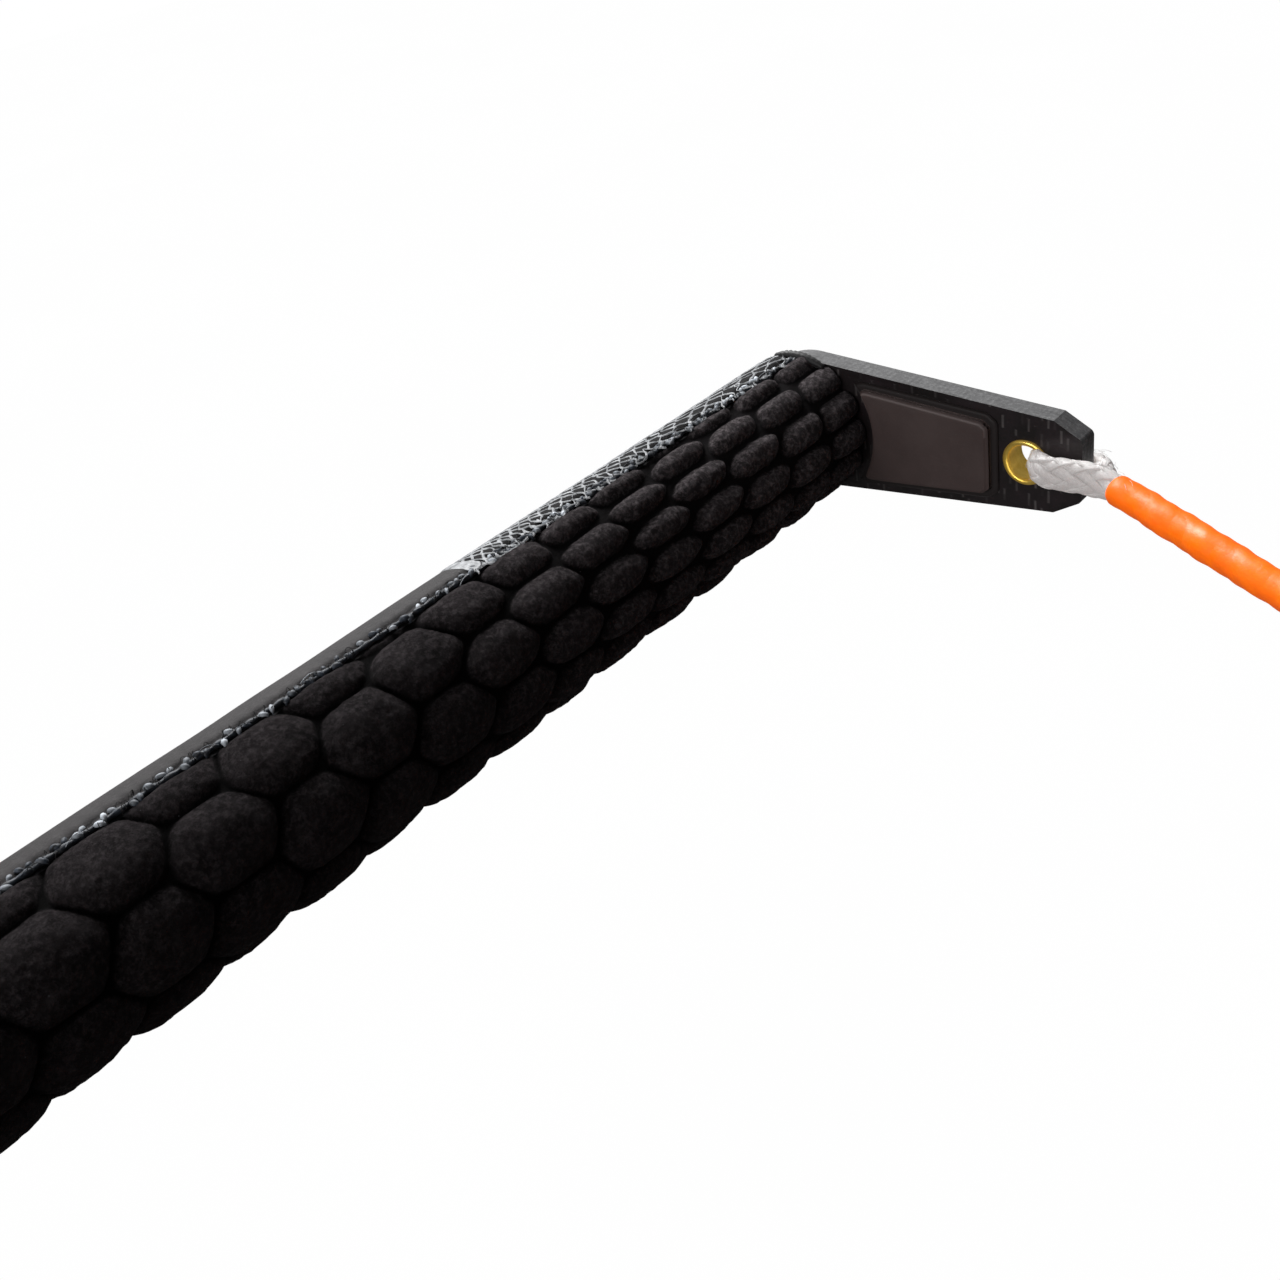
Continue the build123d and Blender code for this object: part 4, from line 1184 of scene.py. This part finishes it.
def area_light(name, location, target, size, power):
    """A soft square light that faces its target."""
    light = bpy.data.lights.new(name, "AREA")
    light.shape = "SQUARE"
    light.size = size
    light.energy = power
    lamp = add_object(name, light)
    lamp.location = location
    lamp.rotation_mode = "QUATERNION"
    lamp.rotation_quaternion = (target - Vector(location)).to_track_quat("-Z", "Y")
    return lamp


def surroundings():
    """White to the camera; to the object, brighter behind it than in front."""
    w = Finish("studio", bpy.data.worlds, "Generated")
    felt = w.ramp(w.axis("Y"), AMBIENT_REAR, AMBIENT_FRONT, -1.0)
    background = w.tree.nodes["Background"].inputs
    w.give(background["Color"], (1, 1, 1))
    w.give(background["Strength"], w.math("MAXIMUM", w.camera_ray(), felt))
    bpy.context.scene.world = w.material


def studio_lights():
    """A soft key light above and behind, one at the side, and a fill that reaches the bright pieces only."""
    area_light("key", (-0.55, -0.80, 0.82), KEY_TARGET, 0.6, 23)
    area_light("side", (1.0, -0.08, 0.36), LIGHT_TARGET, 0.5, 5.5)
    fill = area_light("fill", (0.55, 0.95, 0.10), LIGHT_TARGET, 1.2, 11)
    reached = bpy.data.collections.new("bright_pieces")
    for piece in BRIGHT_PIECES:
        reached.objects.link(piece)
    fill.light_linking.receiver_collection = reached


def photo_camera():
    """The camera at the photograph's viewing angle, from the picture's own solved view."""
    camera = bpy.data.cameras.new("camera")
    camera.sensor_width = 36.0
    camera.lens = 39.813
    camera.clip_start = 0.005
    camera.clip_end = 50
    eye = add_object("camera", camera)
    azimuth, elevation, roll = radians(135.26), radians(32.40), radians(-10.33)
    back = Vector((sin(azimuth) * cos(elevation), -cos(azimuth) * cos(elevation), sin(elevation)))
    right = Vector(UP).cross(back).normalized()
    up = back.cross(right)
    axes = Matrix((cos(roll) * right + sin(roll) * up, cos(roll) * up - sin(roll) * right, back)).transposed()
    place = Matrix.Translation((EAR_INNER + 196.57 * MM, 145.3 * MM, 112.14 * MM))
    eye.matrix_world = place @ axes.to_4x4()
    bpy.context.scene.camera = eye


stage_floor()
surroundings()
studio_lights()
photo_camera()
bpy.context.scene.view_settings.view_transform = "Standard"
